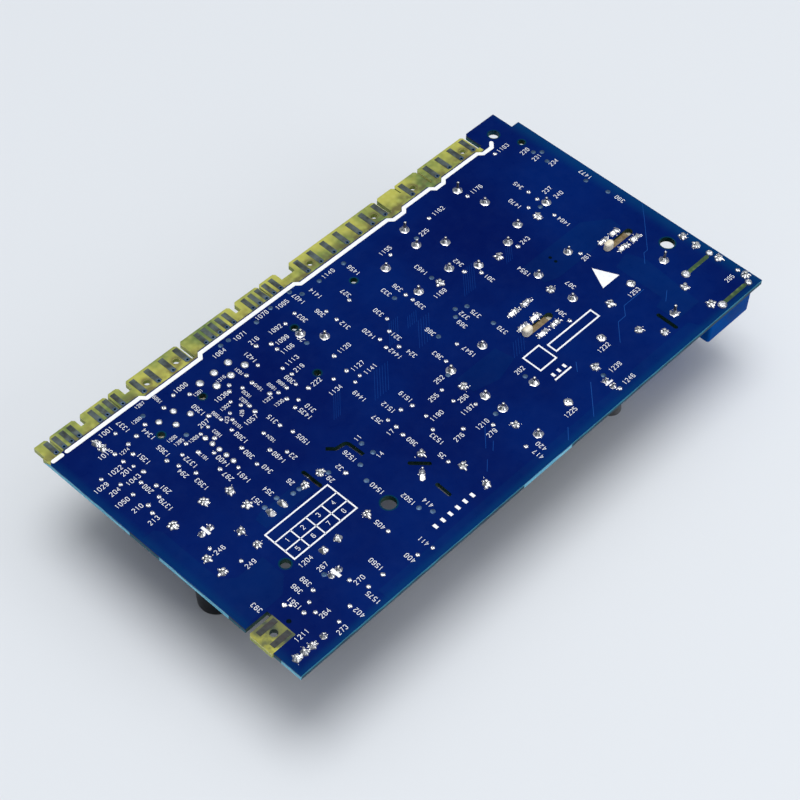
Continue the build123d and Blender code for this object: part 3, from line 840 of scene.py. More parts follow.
@dataclass(frozen=True)
class Metal(Finish):
    """Bare or plated metal with dull patches and fine scratches.

    Attributes:
        rough: Lowest and highest roughness.
        patch: Patches in a metre.
        spread: Softness of the patches.
        grain: Bumps in a metre and their height in metres.
        stretch: Which way the scratches run.
        metallic: How metallic the dull patches are.
        grime: Colour of the grime on it.
        grimy: Where grime begins and where it is full, in metres from back to front.
    """

    rough: Flat = (0.18, 0.34)
    patch: float = 500.0
    spread: float = 0.2
    grain: Flat = (2500.0, 0.00003)
    stretch: Triple = (1.0, 0.1, 1.0)
    metallic: float = 1.0
    grime: Colour = srgb(60, 54, 54)
    grimy: Flat | None = None

    def mix(self, graph: Graph, effects: Effects) -> dict[str, Any]:
        """Inputs of the shader, from patches, scratches and grime."""
        base = effects.patches(graph, self.dark, self.look, self.patch, self.spread)
        lines = graph.group(effects.streaks, {"Scale": 1600.0, "Stretch": self.stretch})
        dull = graph.times(graph.maths("SUBTRACT", 1.0, base["Mask"]), 0.6)
        share = graph.plus(dull, graph.times(lines["Mask"], 0.4))
        colour = base["Color"]
        if self.grimy:
            forward = graph.ranged(graph.axes(graph.place())["Y"], *self.grimy)
            smeared = graph.span(effects.stain(graph, 420.0, 0.2), (0.35, 0.95))
            colour = graph.blend(graph.times(forward, smeared), colour, self.grime)
        return {
            "Base Color": colour,
            "Metallic": self.metallic,
            "Roughness": graph.span(share, self.rough),
            "Normal": effects.skin(graph, self.grain, 0.5),
        }


@dataclass(frozen=True)
class SolderMask(Finish):
    """Glossy lacquer over laminate or over copper, the glass cloth faint in it.

    Attributes:
        rough: Lowest and highest roughness.
        gloss: Specular level.
        rim: Colour that it takes on near the board's edges.
    """

    rough: Flat = (0.26, 0.4)
    gloss: float = 0.022
    rim: Colour = srgb(0, 66, 112)

    def mix(self, graph: Graph, effects: Effects) -> dict[str, Any]:
        """Inputs of the shader, from broad and fine patches, the rim, dust and the cloth."""
        broad = effects.patches(graph, self.dark, self.look, 26.0, 0.22)
        fine = effects.patches(graph, self.dark, self.look, 420.0, 0.3)
        colour = graph.blend(0.1, broad["Color"], fine["Color"])
        colour = graph.blend(self._near_edge(graph), colour, self.rim)
        dusted = graph.group(effects.dust, {"Color": colour, "Dust": srgb(70, 96, 150), "Amount": 0.02})
        cloth = graph.group(effects.weave, {"Yarns": 130.0})["Mask"]
        return {
            "Base Color": dusted["Color"],
            "Roughness": graph.span(fine["Mask"], self.rough),
            "Specular IOR Level": self.gloss,
            "Normal": graph.bump(cloth, 0.00001, 0.25),
        }

    def _near_edge(self, graph: Graph) -> bpy.types.NodeSocket:
        """How near a place is to the board's long or short edges, where more light comes through."""
        spot = graph.axes(graph.place())
        right, lower = plan.flat(plan.length, plan.depth)
        left = graph.ranged(spot["X"], plan.left + 3.2 * MM, plan.left, (0.0, 0.3))
        nearest = graph.maths("MAXIMUM", left, graph.ranged(spot["X"], right - 5.0 * MM, right, (0.0, 0.5)))
        return graph.maths(
            "MAXIMUM", nearest, graph.ranged(spot["Y"], lower + 2.6 * MM, lower, (0.0, 0.42))
        )


@dataclass(frozen=True)
class BareLaminate(Finish):
    """Glass laminate without lacquer, browned near its fingers and round its holes.

    Attributes:
        brown: Colour of the browned places.
        scorched: Middles of the browned places, in metres.
        reach: How far each reaches, in metres.
        grimy: Where grime begins and where it is full, in metres from left to right.
        yarn: Colour of the yarns where they show through.
    """

    brown: Colour
    scorched: tuple[Triple, ...] = ()
    reach: float = 0.0022
    grimy: Flat = (1.0, 2.0)
    yarn: Colour = srgb(206, 214, 128)

    def mix(self, graph: Graph, effects: Effects) -> dict[str, Any]:
        """Inputs of the shader, from patches, the cloth, stains, grime and browned places."""
        base = effects.patches(graph, self.dark, self.look, 90.0, 0.16)
        cloth = graph.group(effects.weave, {"Yarns": 150.0, "Uneven": 2.0})["Mask"]
        pale = graph.blend(graph.times(cloth, 0.16), base["Color"], self.yarn)
        mask: Any = 0.0
        for middle in self.scorched:
            mask = graph.group(
                effects.scorch, {"Mask": mask, "Middle": middle, "Reach": self.reach}
            )["Mask"]
        spot = graph.axes(graph.place())
        stain = effects.stain(graph, 330.0, 0.14)
        inward = graph.ranged(spot["Y"], plan.datum - 1.5 * MM, plan.datum - 6.2 * MM)
        share = graph.maths(
            "MAXIMUM", graph.times(mask, 0.75), graph.times(inward, graph.times(stain, 0.8))
        )
        grime = graph.times(graph.ranged(spot["X"], *self.grimy), graph.span(stain, (0.72, 1.0)))
        return {
            "Base Color": graph.blend(graph.maths("MAXIMUM", share, grime), pale, self.brown),
            "Roughness": graph.span(cloth, (0.42, 0.58)),
            "Specular IOR Level": 0.3,
            "Normal": graph.bump(cloth, 0.00003, 0.5),
        }


@dataclass(frozen=True)
class CutEdge(Finish):
    """Milled edge of the laminate, resin with its glass layers showing as fine lines.

    Attributes:
        upper: Colour of its upper part: the lacquer that laps over plain edges, painted light along the
            front edge's top, and part of the painted light and shade of pale stretches and hole walls.
        lip: Where the upper colour fades out and where it is full, as shares of the thickness from the top.
        rough: Roughness.
    """

    upper: Colour
    lip: Flat = (0.5, 0.22)
    rough: float = 0.6

    def mix(self, graph: Graph, effects: Effects) -> dict[str, Any]:
        """Inputs of the shader, from the layers, patches and the colour of the upper part."""
        lines = graph.group(effects.streaks, {"Scale": 1300.0, "Stretch": (0.1, 0.1, 4.0)})["Mask"]
        patches = effects.stain(graph, 160.0, 0.2)
        share = graph.plus(graph.times(lines, 0.5), graph.times(patches, 0.5))
        thick = plan.top - plan.under
        wave = graph.times(graph.maths("SUBTRACT", patches, 0.5), thick * 0.3)
        height = graph.plus(graph.axes(graph.place())["Z"], wave)
        # Band of the upper colour: the lacquer on plain edges; on the front edge painted light; on pale
        # stretches and hole walls part of their painted light and shade.
        shade = graph.ranged(height, *(plan.top - part * thick for part in self.lip))
        return {
            "Base Color": graph.blend(shade, graph.blend(share, self.dark, self.look), self.upper),
            "Roughness": self.rough,
            "Specular IOR Level": 0.3,
            "Normal": effects.skin(graph, (4000.0, 0.00004), 0.6),
        }


@dataclass(frozen=True)
class Ink(Finish):
    """Screen-printed ink, a little thin in places."""

    def mix(self, graph: Graph, effects: Effects) -> dict[str, Any]:
        """Inputs of the shader, from fine patches and grain."""
        base = effects.patches(graph, self.dark, self.look, 900.0, 0.3)
        return {
            "Base Color": base["Color"],
            "Roughness": graph.span(base["Mask"], (0.65, 0.5)),
            "Specular IOR Level": 0.3,
            "Normal": effects.skin(graph, (5000.0, 0.00001), 0.4),
        }


coding_holes = ((35.0, 3.8), (45.2, 3.8), (94.5, 3.8), (119.5, 3.8), (135.2, 3.8), (156.0, 3.8))
browned = tuple(tuple(plan.spot(*hole)) for hole in coding_holes)
tongue_stains = ((1.6, 79.2), (4.0, 79.4), (6.4, 79.6), (6.8, 82.0), (4.2, 82.3), (6.6, 84.4), (4.4, 84.2))
tongue_browned = tuple(tuple(plan.spot(*stain)) for stain in tongue_stains)

mask_blue = SolderMask("mask_blue", srgb(0, 17, 82), srgb(0, 31, 101))
mask_copper = SolderMask("mask_over_copper", srgb(0, 23, 84), srgb(0, 37, 103))
mask_faint = SolderMask("mask_over_fine_traces", srgb(6, 42, 112), srgb(14, 56, 130))
mask_trace = SolderMask("mask_over_trace", srgb(10, 52, 128), srgb(26, 76, 150))
laminate = BareLaminate("bare_laminate", srgb(92, 116, 58), srgb(178, 178, 80), srgb(86, 76, 46), browned)
tongue_grimy = (plan.spot(1.2, 0.0).x, plan.spot(4.6, 0.0).x)
tongue_laminate = BareLaminate(
    "tongue_laminate", srgb(150, 150, 60), srgb(200, 198, 74), srgb(58, 70, 58), tongue_browned, 0.0024,
    tongue_grimy,
)
bare_copper_side = BareLaminate("bare_strip", srgb(26, 66, 40), srgb(56, 92, 50), srgb(44, 66, 40))
edge_teal = CutEdge("cut_edge", srgb(0, 66, 88), srgb(10, 104, 124), srgb(0, 34, 70), (0.4, 0.16))
# Pale stretches of cut edge: a painted highlight where the edge looks lit.
edge_painted_highlight = CutEdge(
    "cut_edge_painted_highlight", srgb(72, 168, 204), srgb(146, 218, 240), srgb(10, 96, 140), (0.34, 0.1)
)
edge_green = CutEdge(
    "cut_edge_tabs", srgb(120, 140, 66), srgb(190, 196, 112), srgb(216, 216, 140), (0.3, 0.1)
)
# Front edge: painted darker than the other edges as shade, with painted light as a bright teal line along
# its top.
edge_front = CutEdge("cut_edge_front", srgb(0, 44, 66), srgb(6, 78, 102), srgb(0, 128, 158), (0.5, 0.2))
# Hole walls: painted dark as the shade inside the holes.
hole_wall_painted_shade = CutEdge("hole_wall_painted_shade", srgb(2, 34, 30), srgb(10, 66, 50), srgb(0, 52, 60), (0.2, 0.05))
white_ink = Ink("white_ink", srgb(234, 240, 248), srgb(255, 255, 255))
hole_ring = SolderMask("mask_round_holes", srgb(0, 36, 62), srgb(2, 62, 84))
via_ring = Metal("via_ring", srgb(44, 68, 100), srgb(92, 116, 144), (0.4, 0.5), 1100.0)
finger_tin = Metal(
    "finger_tin", srgb(52, 58, 58), srgb(90, 102, 102), (0.42, 0.62), 420.0, 0.22, (1800.0, 0.00004),
    (1.0, 0.06, 1.0), 0.6, srgb(52, 48, 50), (0.0, -10.0 * MM),
)
solder = Metal(
    "solder", srgb(228, 230, 234), srgb(254, 254, 255), (0.14, 0.26), 700.0, 0.2, (1100.0, 0.00003)
)
dull_solder = Metal(
    "dull_solder", srgb(176, 180, 186), srgb(226, 229, 234), (0.3, 0.42), 1500.0, 0.2, (3200.0, 0.00007)
)
lead_end = Metal("lead_end", srgb(96, 100, 98), srgb(168, 170, 164), (0.35, 0.5), 800.0, 0.2, metallic=0.6)
# Near-black finish that paints shade: the dark of small holes, via bores and the spots in round joints.
painted_shade_dark = Moulded(
    "painted_shade_dark", srgb(0, 8, 16), srgb(2, 24, 34), (0.5, 0.7), 900.0, 0.2, (3000.0, 0.00001), 0.02,
    (srgb(20, 60, 70), 0.0), 0.0
)

relay_black = Moulded("relay_black", srgb(20, 21, 24), srgb(36, 37, 41), (0.42, 0.56), 90.0)
relay_resin = Moulded("relay_resin", srgb(46, 44, 42), srgb(72, 69, 64), (0.5, 0.65), 300.0)
sleeve_black = Moulded(
    "sleeve_black", srgb(5, 6, 10), srgb(11, 13, 20), (0.3, 0.42), 160.0, gloss=0.22, dust=0.02
)
sleeve_stripe = Moulded(
    "sleeve_stripe", srgb(96, 104, 120), srgb(128, 136, 150), (0.3, 0.42), 160.0, gloss=0.3
)
rubber_seal = Moulded("rubber_seal", srgb(14, 14, 15), srgb(28, 28, 29), (0.6, 0.75), 300.0)
can_metal = Metal("can_metal", srgb(168, 170, 174), srgb(206, 208, 212), (0.28, 0.42))
film_blue = Moulded(
    "film_blue", srgb(0, 60, 136), srgb(0, 84, 170), (0.5, 0.65), 110.0, gloss=0.01,
    worn=(srgb(30, 100, 160), 0.1), dust=0.02
)
potting = Moulded("potting_resin", srgb(26, 60, 96), srgb(48, 88, 128), (0.35, 0.5), 240.0)
disc_blue = Moulded("disc_blue", srgb(8, 44, 104), srgb(18, 66, 140), (0.26, 0.4), 200.0, coat=0.3)
wire_tin = Metal("wire_tin", srgb(150, 152, 156), srgb(198, 200, 204), (0.22, 0.36), 700.0)
enamel = Metal(
    "enamelled_copper", srgb(112, 46, 20), srgb(176, 84, 38), (0.2, 0.32), 300.0, 0.2, (2500.0, 0.00002),
    (1.0, 1.0, 0.1), 0.8
)
ferrite_grey = Moulded(
    "ferrite_grey", srgb(34, 35, 37), srgb(58, 59, 62), (0.5, 0.66), 700.0, 0.2, (2600.0, 0.00006)
)
core_green = Moulded("core_green", srgb(10, 66, 46), srgb(22, 98, 68), (0.34, 0.46), 260.0, coat=0.2)
bobbin_black = Moulded("bobbin_black", srgb(17, 17, 19), srgb(32, 32, 35), (0.4, 0.55), 140.0)
buzzer_black = Moulded("buzzer_black", srgb(15, 15, 17), srgb(28, 28, 31), (0.36, 0.5), 140.0)
choke_black = Moulded("choke_black", srgb(10, 12, 18), srgb(20, 23, 32), (0.36, 0.5), 140.0)
tape_yellow = Moulded(
    "tape_yellow", srgb(196, 158, 30), srgb(222, 186, 52), (0.3, 0.42), 190.0,
    worn=(srgb(236, 214, 130), 0.2)
)
nylon = Moulded(
    "nylon_natural", srgb(196, 190, 168), srgb(222, 217, 198), (0.42, 0.56), 130.0,
    worn=(srgb(236, 234, 224), 0.3)
)
# Peg tops: painted lighter than the housing as lit faces.
peg_top_painted_light = Moulded(
    "peg_top_painted_light", srgb(232, 222, 196), srgb(250, 244, 228), (0.36, 0.5), 700.0, 0.25,
    worn=(srgb(252, 250, 240), 0.6), dust=0.0
)
# Peg sides in the board's slot: painted khaki as shade.
peg_side_painted_shade = Moulded("peg_side_painted_shade", srgb(96, 80, 48), srgb(134, 114, 74), (0.45, 0.6), 900.0)
plated_brass = Metal(
    "plated_brass", srgb(176, 164, 130), srgb(206, 198, 168), (0.24, 0.38), 300.0, 0.2, (2200.0, 0.00003),
    (1.0, 1.0, 0.06)
)
header_cream = Moulded("header_cream", srgb(188, 182, 162), srgb(214, 209, 190), (0.42, 0.56), 160.0)
epoxy_black = Moulded(
    "epoxy_black", srgb(24, 24, 26), srgb(38, 38, 41), (0.5, 0.64), 400.0, 0.25, (4000.0, 0.00004)
)
epoxy_gloss = Moulded("epoxy_gloss", srgb(14, 14, 16), srgb(24, 24, 26), (0.2, 0.3), 400.0)
drawn_steel = Metal(
    "drawn_steel", srgb(158, 158, 160), srgb(200, 200, 203), (0.2, 0.32), 300.0, 0.2, (2500.0, 0.00002),
    (1.0, 1.0, 0.1)
)
chip_black = Moulded("chip_black", srgb(12, 12, 14), srgb(22, 22, 25), (0.25, 0.4), 900.0)
chip_tan = Moulded("chip_tan", srgb(150, 116, 80), srgb(178, 144, 104), (0.35, 0.5), 900.0)
resistor_grey = Moulded("resistor_grey", srgb(96, 108, 104), srgb(126, 138, 132), (0.35, 0.48), 400.0)


SLEEVE, STRIPE, TOP, SEAL = range(4)


def band_paint(name: str, levels: tuple[int, int, int]) -> Moulded:
    """Paint of one band on a resistor."""
    darker = srgb(*[int(level * 0.8) for level in levels])
    return Moulded(f"band_{name}", darker, srgb(*levels), (0.32, 0.45), 700.0)


bands = [
    band_paint(name, levels)
    for name, levels in (
        ("brown", (92, 48, 26)), ("black", (16, 16, 18)), ("red", (150, 22, 20)), ("gold", (150, 118, 50)),
    )
]


# ---------------------------------------------------------------- board


class Side(IntEnum):
    """Finishes of the board's faces, in the order of its materials."""

    LACQUER = 0
    TABS = 1
    EDGE = 2
    PALE_EDGE = 3
    TAB_EDGE = 4
    HOLE = 5
    FRONT_EDGE = 6
    TONGUE = 7


@dataclass
class BoardLook:
    """The laminate with its lacquer, its bare connector tabs and its cut edges.

    Attributes:
        mask_edge: Corners of the lacquer's edge along the connectors, across and down.
        tongue_bare: Across and down limits of the bare test tongue.
        edge_cuts: Stretches of the left edge painted pale as a highlight, down the board.
        front_cut: Stretch of the lower edge painted pale as a highlight, across the board.
        tab_edges: Places across and down up to which cut edges belong to the connectors.
        tongue_edges: Stretch of the left edge that the tongue takes, down the board.
        outer: Places across and down past which cut edges are the outline's, not a hole's.
        skin: Depth of the left edge.
    """

    mask_edge: tuple[Flat, ...] = (
        (0.0, 6.9), (0.4, 6.3), (1.0, 5.8), (4.3, 5.75), (4.9, 5.5), (30.2, 5.5), (31.4, 6.75),
        (50.2, 6.75), (51.4, 5.35), (86.0, 5.35), (87.3, 6.55), (121.0, 6.55), (122.3, 7.75),
        (126.4, 7.75), (127.7, 6.55), (138.2, 6.55), (139.4, 7.75), (142.6, 7.75), (143.9, 6.55),
        (158.0, 6.55), (159.3, 7.75), (160.6, 7.75),
    )
    tongue_bare: Triple = (7.3, 78.2, 86.2)
    edge_cuts: tuple[Flat, ...] = ((4.0, 36.0), (46.7, 71.0), (88.8, 95.5))
    front_cut: Flat = (78.7, 97.0)
    tab_edges: Flat = (160.0, 6.0)
    tongue_edges: Flat = (78.0, 86.5)
    outer: Flat = (173.0, 8.0)
    skin: float = 0.2

    def _cut(
        self, work: bmesh.types.BMesh, point: Vector, normal: Vector, keep: Callable[[Vector], bool]
    ) -> None:
        """Splits the faces that a test picks along a plane.

        Args:
            work: The mesh.
            point: A point on the plane.
            normal: The plane's normal.
            keep: Whether a face with this middle is split.
        """
        faces = [f for f in work.faces if keep(f.calc_center_median())]
        geometry = list(
            {v for f in faces for v in f.verts}
        ) + list({e for f in faces for e in f.edges}) + faces
        bmesh.ops.bisect_plane(work, geom=geometry, dist=1e-7, plane_co=point, plane_no=normal)

    def _edge_at(self, across: float) -> float:
        """How far down the lacquer starts at a place across."""
        for (u1, v1), (u2, v2) in zip(self.mask_edge, self.mask_edge[1:]):
            if u1 <= across <= u2:
                return v1 + (v2 - v1) * (across - u1) / (u2 - u1)
        return -9.0 if across > 0 else self.mask_edge[0][1]

    def _bare(self, across: float, down: float) -> bool:
        """Whether a place has no lacquer."""
        reach, start, end = self.tongue_bare
        return down < self._edge_at(across) or (across < reach and start < down < end)

    def build(self, shop: Workshop) -> bpy.types.Object:
        """Builds the board.

        Args:
            shop: Mixes the finishes.

        Returns:
            The board piece.
        """
        work = opened("board")
        for across, _ in self.mask_edge:
            self._cut(work, plan.spot(across, 0), ACROSS, lambda c: True)
        for (u1, v1), (u2, v2) in zip(self.mask_edge, self.mask_edge[1:]):
            start, end = plan.spot(u1, v1), plan.spot(u2, v2)
            way = (end - start).cross(UP).normalized()
            self._cut(work, start, way, lambda c: start.x < c.x < end.x)
        reach, upper, lower = self.tongue_bare
        near_left, near_front = plan.left + reach * MM, plan.datum - (plan.depth - 1.3) * MM
        self._cut(work, plan.spot(reach, 0), ACROSS, lambda c: True)
        for down in (upper, lower, *(v for pair in self.edge_cuts for v in pair)):
            self._cut(work, plan.spot(0, down), BACK, lambda c: c.x < near_left)
        for across in self.front_cut:
            self._cut(work, plan.spot(across, 0), ACROSS, lambda c: c.y < near_front)
        bmesh.ops.triangulate(work, faces=work.faces[:])
        for face in work.faces:
            face.material_index = self._finish_of(face)
        finishes = shop.all(
            mask_blue, laminate, edge_teal, edge_painted_highlight, edge_green, hole_wall_painted_shade, edge_front, tongue_laminate
        )
        made = closed_up(work, "board_laminate", finishes, 30)
        for polygon in made.data.polygons:
            polygon.use_smooth = abs(polygon.normal.z) < 0.5
        return settle(made, "laminate", "board")

    def _finish_of(self, face: bmesh.types.BMFace) -> Side:
        """Finish of a face of the board."""
        centre = face.calc_center_median()
        across, down = (centre.x - plan.left) / MM, (plan.datum - centre.y) / MM
        if abs(face.normal.z) > 0.5:
            if not self._bare(across, down):
                return Side.LACQUER
            return Side.TONGUE if down > plan.depth / 2 else Side.TABS
        if across < self.tab_edges[0] and down < self.tab_edges[1]:
            return Side.TAB_EDGE
        if across < self.skin:
            if self.tongue_edges[0] < down < self.tongue_edges[1]:
                return Side.TAB_EDGE
            # Stretches of the left edge that take the painted highlight.
            pale = any(start < down < end for start, end in self.edge_cuts)
            return Side.PALE_EDGE if pale else Side.EDGE
        # The lower edge takes the front finish with its painted shade, and along one stretch the painted
        # highlight.
        if down > plan.depth - 0.3:
            return Side.PALE_EDGE if self.front_cut[0] < across < self.front_cut[1] else Side.FRONT_EDGE
        return Side.EDGE if across > self.outer[0] or down < self.outer[1] else Side.HOLE


class Way(Enum):
    """Direction in which a printed number reads, in degrees from the board's length."""

    ALONG = 0
    UP = 90
    SLANT = 45


Stroke = tuple[bool, tuple[Flat, ...]]
DIGITS: dict[str, tuple[Stroke, ...]] = {
    "0": ((True, ((0, 1), (0, 5), (1, 6), (3, 6), (4, 5), (4, 1), (3, 0), (1, 0))),),
    "1": ((False, ((1, 5), (2, 6), (2, 0))),),
    "2": ((False, ((0, 5), (1, 6), (3, 6), (4, 5), (4, 4), (0, 0), (4, 0))),),
    "3": (
        (False, ((0, 5), (1, 6), (3, 6), (4, 5), (4, 4), (3, 3), (4, 2), (4, 1), (3, 0), (1, 0), (0, 1))),
    ),
    "4": ((False, ((3, 0), (3, 6), (0, 2), (4, 2))),),
    "5": ((False, ((4, 6), (0, 6), (0, 3.5), (3, 3.5), (4, 2.5), (4, 1), (3, 0), (1, 0), (0, 1))),),
    "6": ((
        False,
        ((4, 5), (3, 6), (1, 6), (0, 5), (0, 1), (1, 0), (3, 0), (4, 1), (4, 2.5), (3, 3.5), (0, 3.2))
    ),),
    "7": ((False, ((0, 6), (4, 6), (1.5, 0))),),
    "8": (
        (True, ((1, 3.2), (0, 4), (0, 5), (1, 6), (3, 6), (4, 5), (4, 4), (3, 3.2))),
        (True, ((1, 3.2), (0, 2.3), (0, 1), (1, 0), (3, 0), (4, 1), (4, 2.3), (3, 3.2))),
    ),
    "9": ((
        False,
        ((0, 1), (1, 0), (3, 0), (4, 1), (4, 5), (3, 6), (1, 6), (0, 5), (0, 3.5), (1, 2.5), (4, 2.8))
    ),),
}


@dataclass(frozen=True)
class Lettering:
    """Size of a printed number, in millimetres."""

    height: float
    advance: float
    line: float


plain_size = Lettering(1.27, 1.12, 0.145)
small_size = Lettering(0.96, 0.78, 0.11)

# across, down and number of digits
along_numbers = (
    (16.6, 8.7, 4), (39.8, 11.4, 4), (11.7, 14.0, 4), (10.0, 19.7, 4), (4.0, 21.2, 4), (11.8, 21.8, 3),
    (45.0, 21.1, 4), (5.6, 24.5, 3), (11.3, 24.9, 4), (35.9, 24.2, 3), (4.6, 28.3, 4), (6.1, 32.2, 3),
    (45.1, 31.9, 4), (6.4, 37.8, 3), (54.9, 9.9, 4), (62.9, 9.4, 4), (72.0, 8.2, 4), (78.5, 9.3, 4),
    (64.3, 13.1, 3), (71.0, 14.3, 4), (69.7, 18.2, 4), (68.5, 21.4, 4), (66.5, 25.1, 4), (66.0, 28.2, 3),
    (79.1, 31.8, 4), (65.8, 34.8, 3), (77.2, 38.6, 4), (67.3, 40.3, 4), (78.8, 41.7, 4), (95.1, 10.1, 4),
    (112.1, 15.2, 4), (124.7, 17.9, 3), (133.5, 15.1, 4), (111.1, 36.5, 4), (147.3, 16.9, 4),
    (165.0, 11.1, 4), (168.4, 16.4, 3), (168.9, 20.5, 3), (170.8, 25.2, 3), (161.1, 31.2, 3),
    (162.0, 34.6, 3), (142.0, 39.7, 3), (11.6, 55.7, 3), (14.0, 64.0, 3), (88.7, 56.9, 3), (60.0, 55.4, 2),
    (60.1, 63.1, 2), (67.1, 60.0, 2), (79.4, 64.7, 4), (83.2, 60.0, 3), (88.4, 65.6, 3), (86.4, 69.0, 4),
    (149.1, 55.8, 3), (16.4, 86.9, 3), (25.5, 77.0, 3), (29.0, 86.0, 3), (23.8, 73.0, 4), (8.1, 87.4, 4),
    (15.9, 93.1, 3), (78.2, 73.5, 3), (85.5, 74.9, 4), (85.1, 78.5, 3), (105.8, 69.7, 3), (104.4, 88.4, 4),
    (127.3, 80.3, 4), (124.3, 86.7, 4), (123.6, 91.9, 4), (148.2, 73.4, 4), (170.5, 88.6, 3),
)
small_along_numbers = (
    (24.5, 11.4, 4), (28.5, 8.2, 4), (15.7, 16.7, 4), (41.8, 15.8, 4), (26.8, 22.2, 4), (27.3, 24.2, 4),
    (43.3, 24.2, 4), (30.6, 26.1, 4), (49.1, 16.6, 4), (52.8, 30.1, 4), (54.0, 33.0, 4),
)
upward_numbers = (
    (20.9, 10.5, 4), (23.8, 16.8, 4), (17.6, 21.8, 4), (38.0, 20.0, 4), (22.7, 23.5, 4), (11.9, 29.6, 3),
    (14.9, 32.8, 3), (21.3, 32.2, 3), (25.1, 31.0, 4), (11.8, 36.4, 4), (39.4, 34.3, 4), (22.3, 38.0, 4),
    (31.0, 36.5, 4), (28.5, 40.9, 3), (37.0, 39.6, 3), (83.0, 11.0, 4), (87.6, 12.8, 4), (78.8, 16.6, 3),
    (83.4, 18.6, 3), (59.7, 16.6, 4), (73.4, 21.5, 2), (61.5, 29.3, 3), (85.0, 26.4, 3), (49.1, 35.6, 3),
    (87.3, 33.0, 4), (56.3, 40.3, 4), (58.5, 39.9, 3), (91.7, 38.7, 3), (87.2, 42.7, 4), (90.2, 45.7, 3),
    (70.2, 46.1, 4), (100.9, 14.1, 4), (93.3, 18.5, 3), (94.5, 29.5, 3), (101.2, 26.0, 3), (104.5, 27.0, 3),
    (104.2, 35.7, 3), (113.8, 27.0, 4), (122.9, 32.4, 3), (156.7, 24.3, 3), (150.7, 28.4, 4),
    (173.5, 34.8, 4), (155.1, 42.6, 4), (31.2, 43.8, 4), (37.0, 46.2, 3), (41.7, 45.6, 4), (44.4, 47.9, 2),
    (28.3, 51.3, 3), (32.3, 51.3, 3), (38.2, 53.2, 2), (45.8, 59.7, 2), (50.0, 45.9, 4), (67.8, 54.7, 3),
    (72.7, 54.0, 4), (78.4, 54.7, 4), (50.0, 58.7, 2), (54.4, 58.0, 4), (68.8, 66.0, 3), (73.9, 69.9, 4),
    (51.9, 70.0, 4), (94.5, 51.0, 3), (99.2, 44.0, 3), (107.1, 48.2, 3), (109.8, 46.5, 3), (112.4, 48.3, 3),
    (101.3, 56.0, 4), (113.1, 57.2, 3), (124.6, 42.2, 3), (133.1, 47.2, 4), (128.7, 64.2, 3),
    (138.2, 59.5, 3), (172.8, 48.0, 3), (6.1, 74.2, 3), (16.6, 77.2, 3), (19.6, 77.2, 3), (13.3, 79.7, 4),
    (35.1, 85.7, 4), (22.2, 92.6, 3), (27.6, 92.0, 4), (44.3, 78.2, 3), (42.2, 90.3, 3), (48.2, 89.2, 3),
    (54.9, 77.8, 4), (57.5, 82.0, 3), (70.8, 74.4, 2), (88.2, 91.5, 3), (90.7, 90.3, 3),
)
small_upward_numbers = (
    (33.0, 10.0, 4), (40.0, 24.5, 4), (36.1, 29.0, 4), (41.6, 30.8, 4), (28.6, 32.0, 4), (44.5, 39.8, 4),
    (54.2, 18.0, 4), (50.3, 25.0, 4), (54.0, 25.5, 4), (48.3, 26.2, 4), (56.6, 27.8, 4), (59.1, 28.8, 4),
)
slanting_numbers = ((40.8, 27.6, 3), (45.0, 28.7, 3))


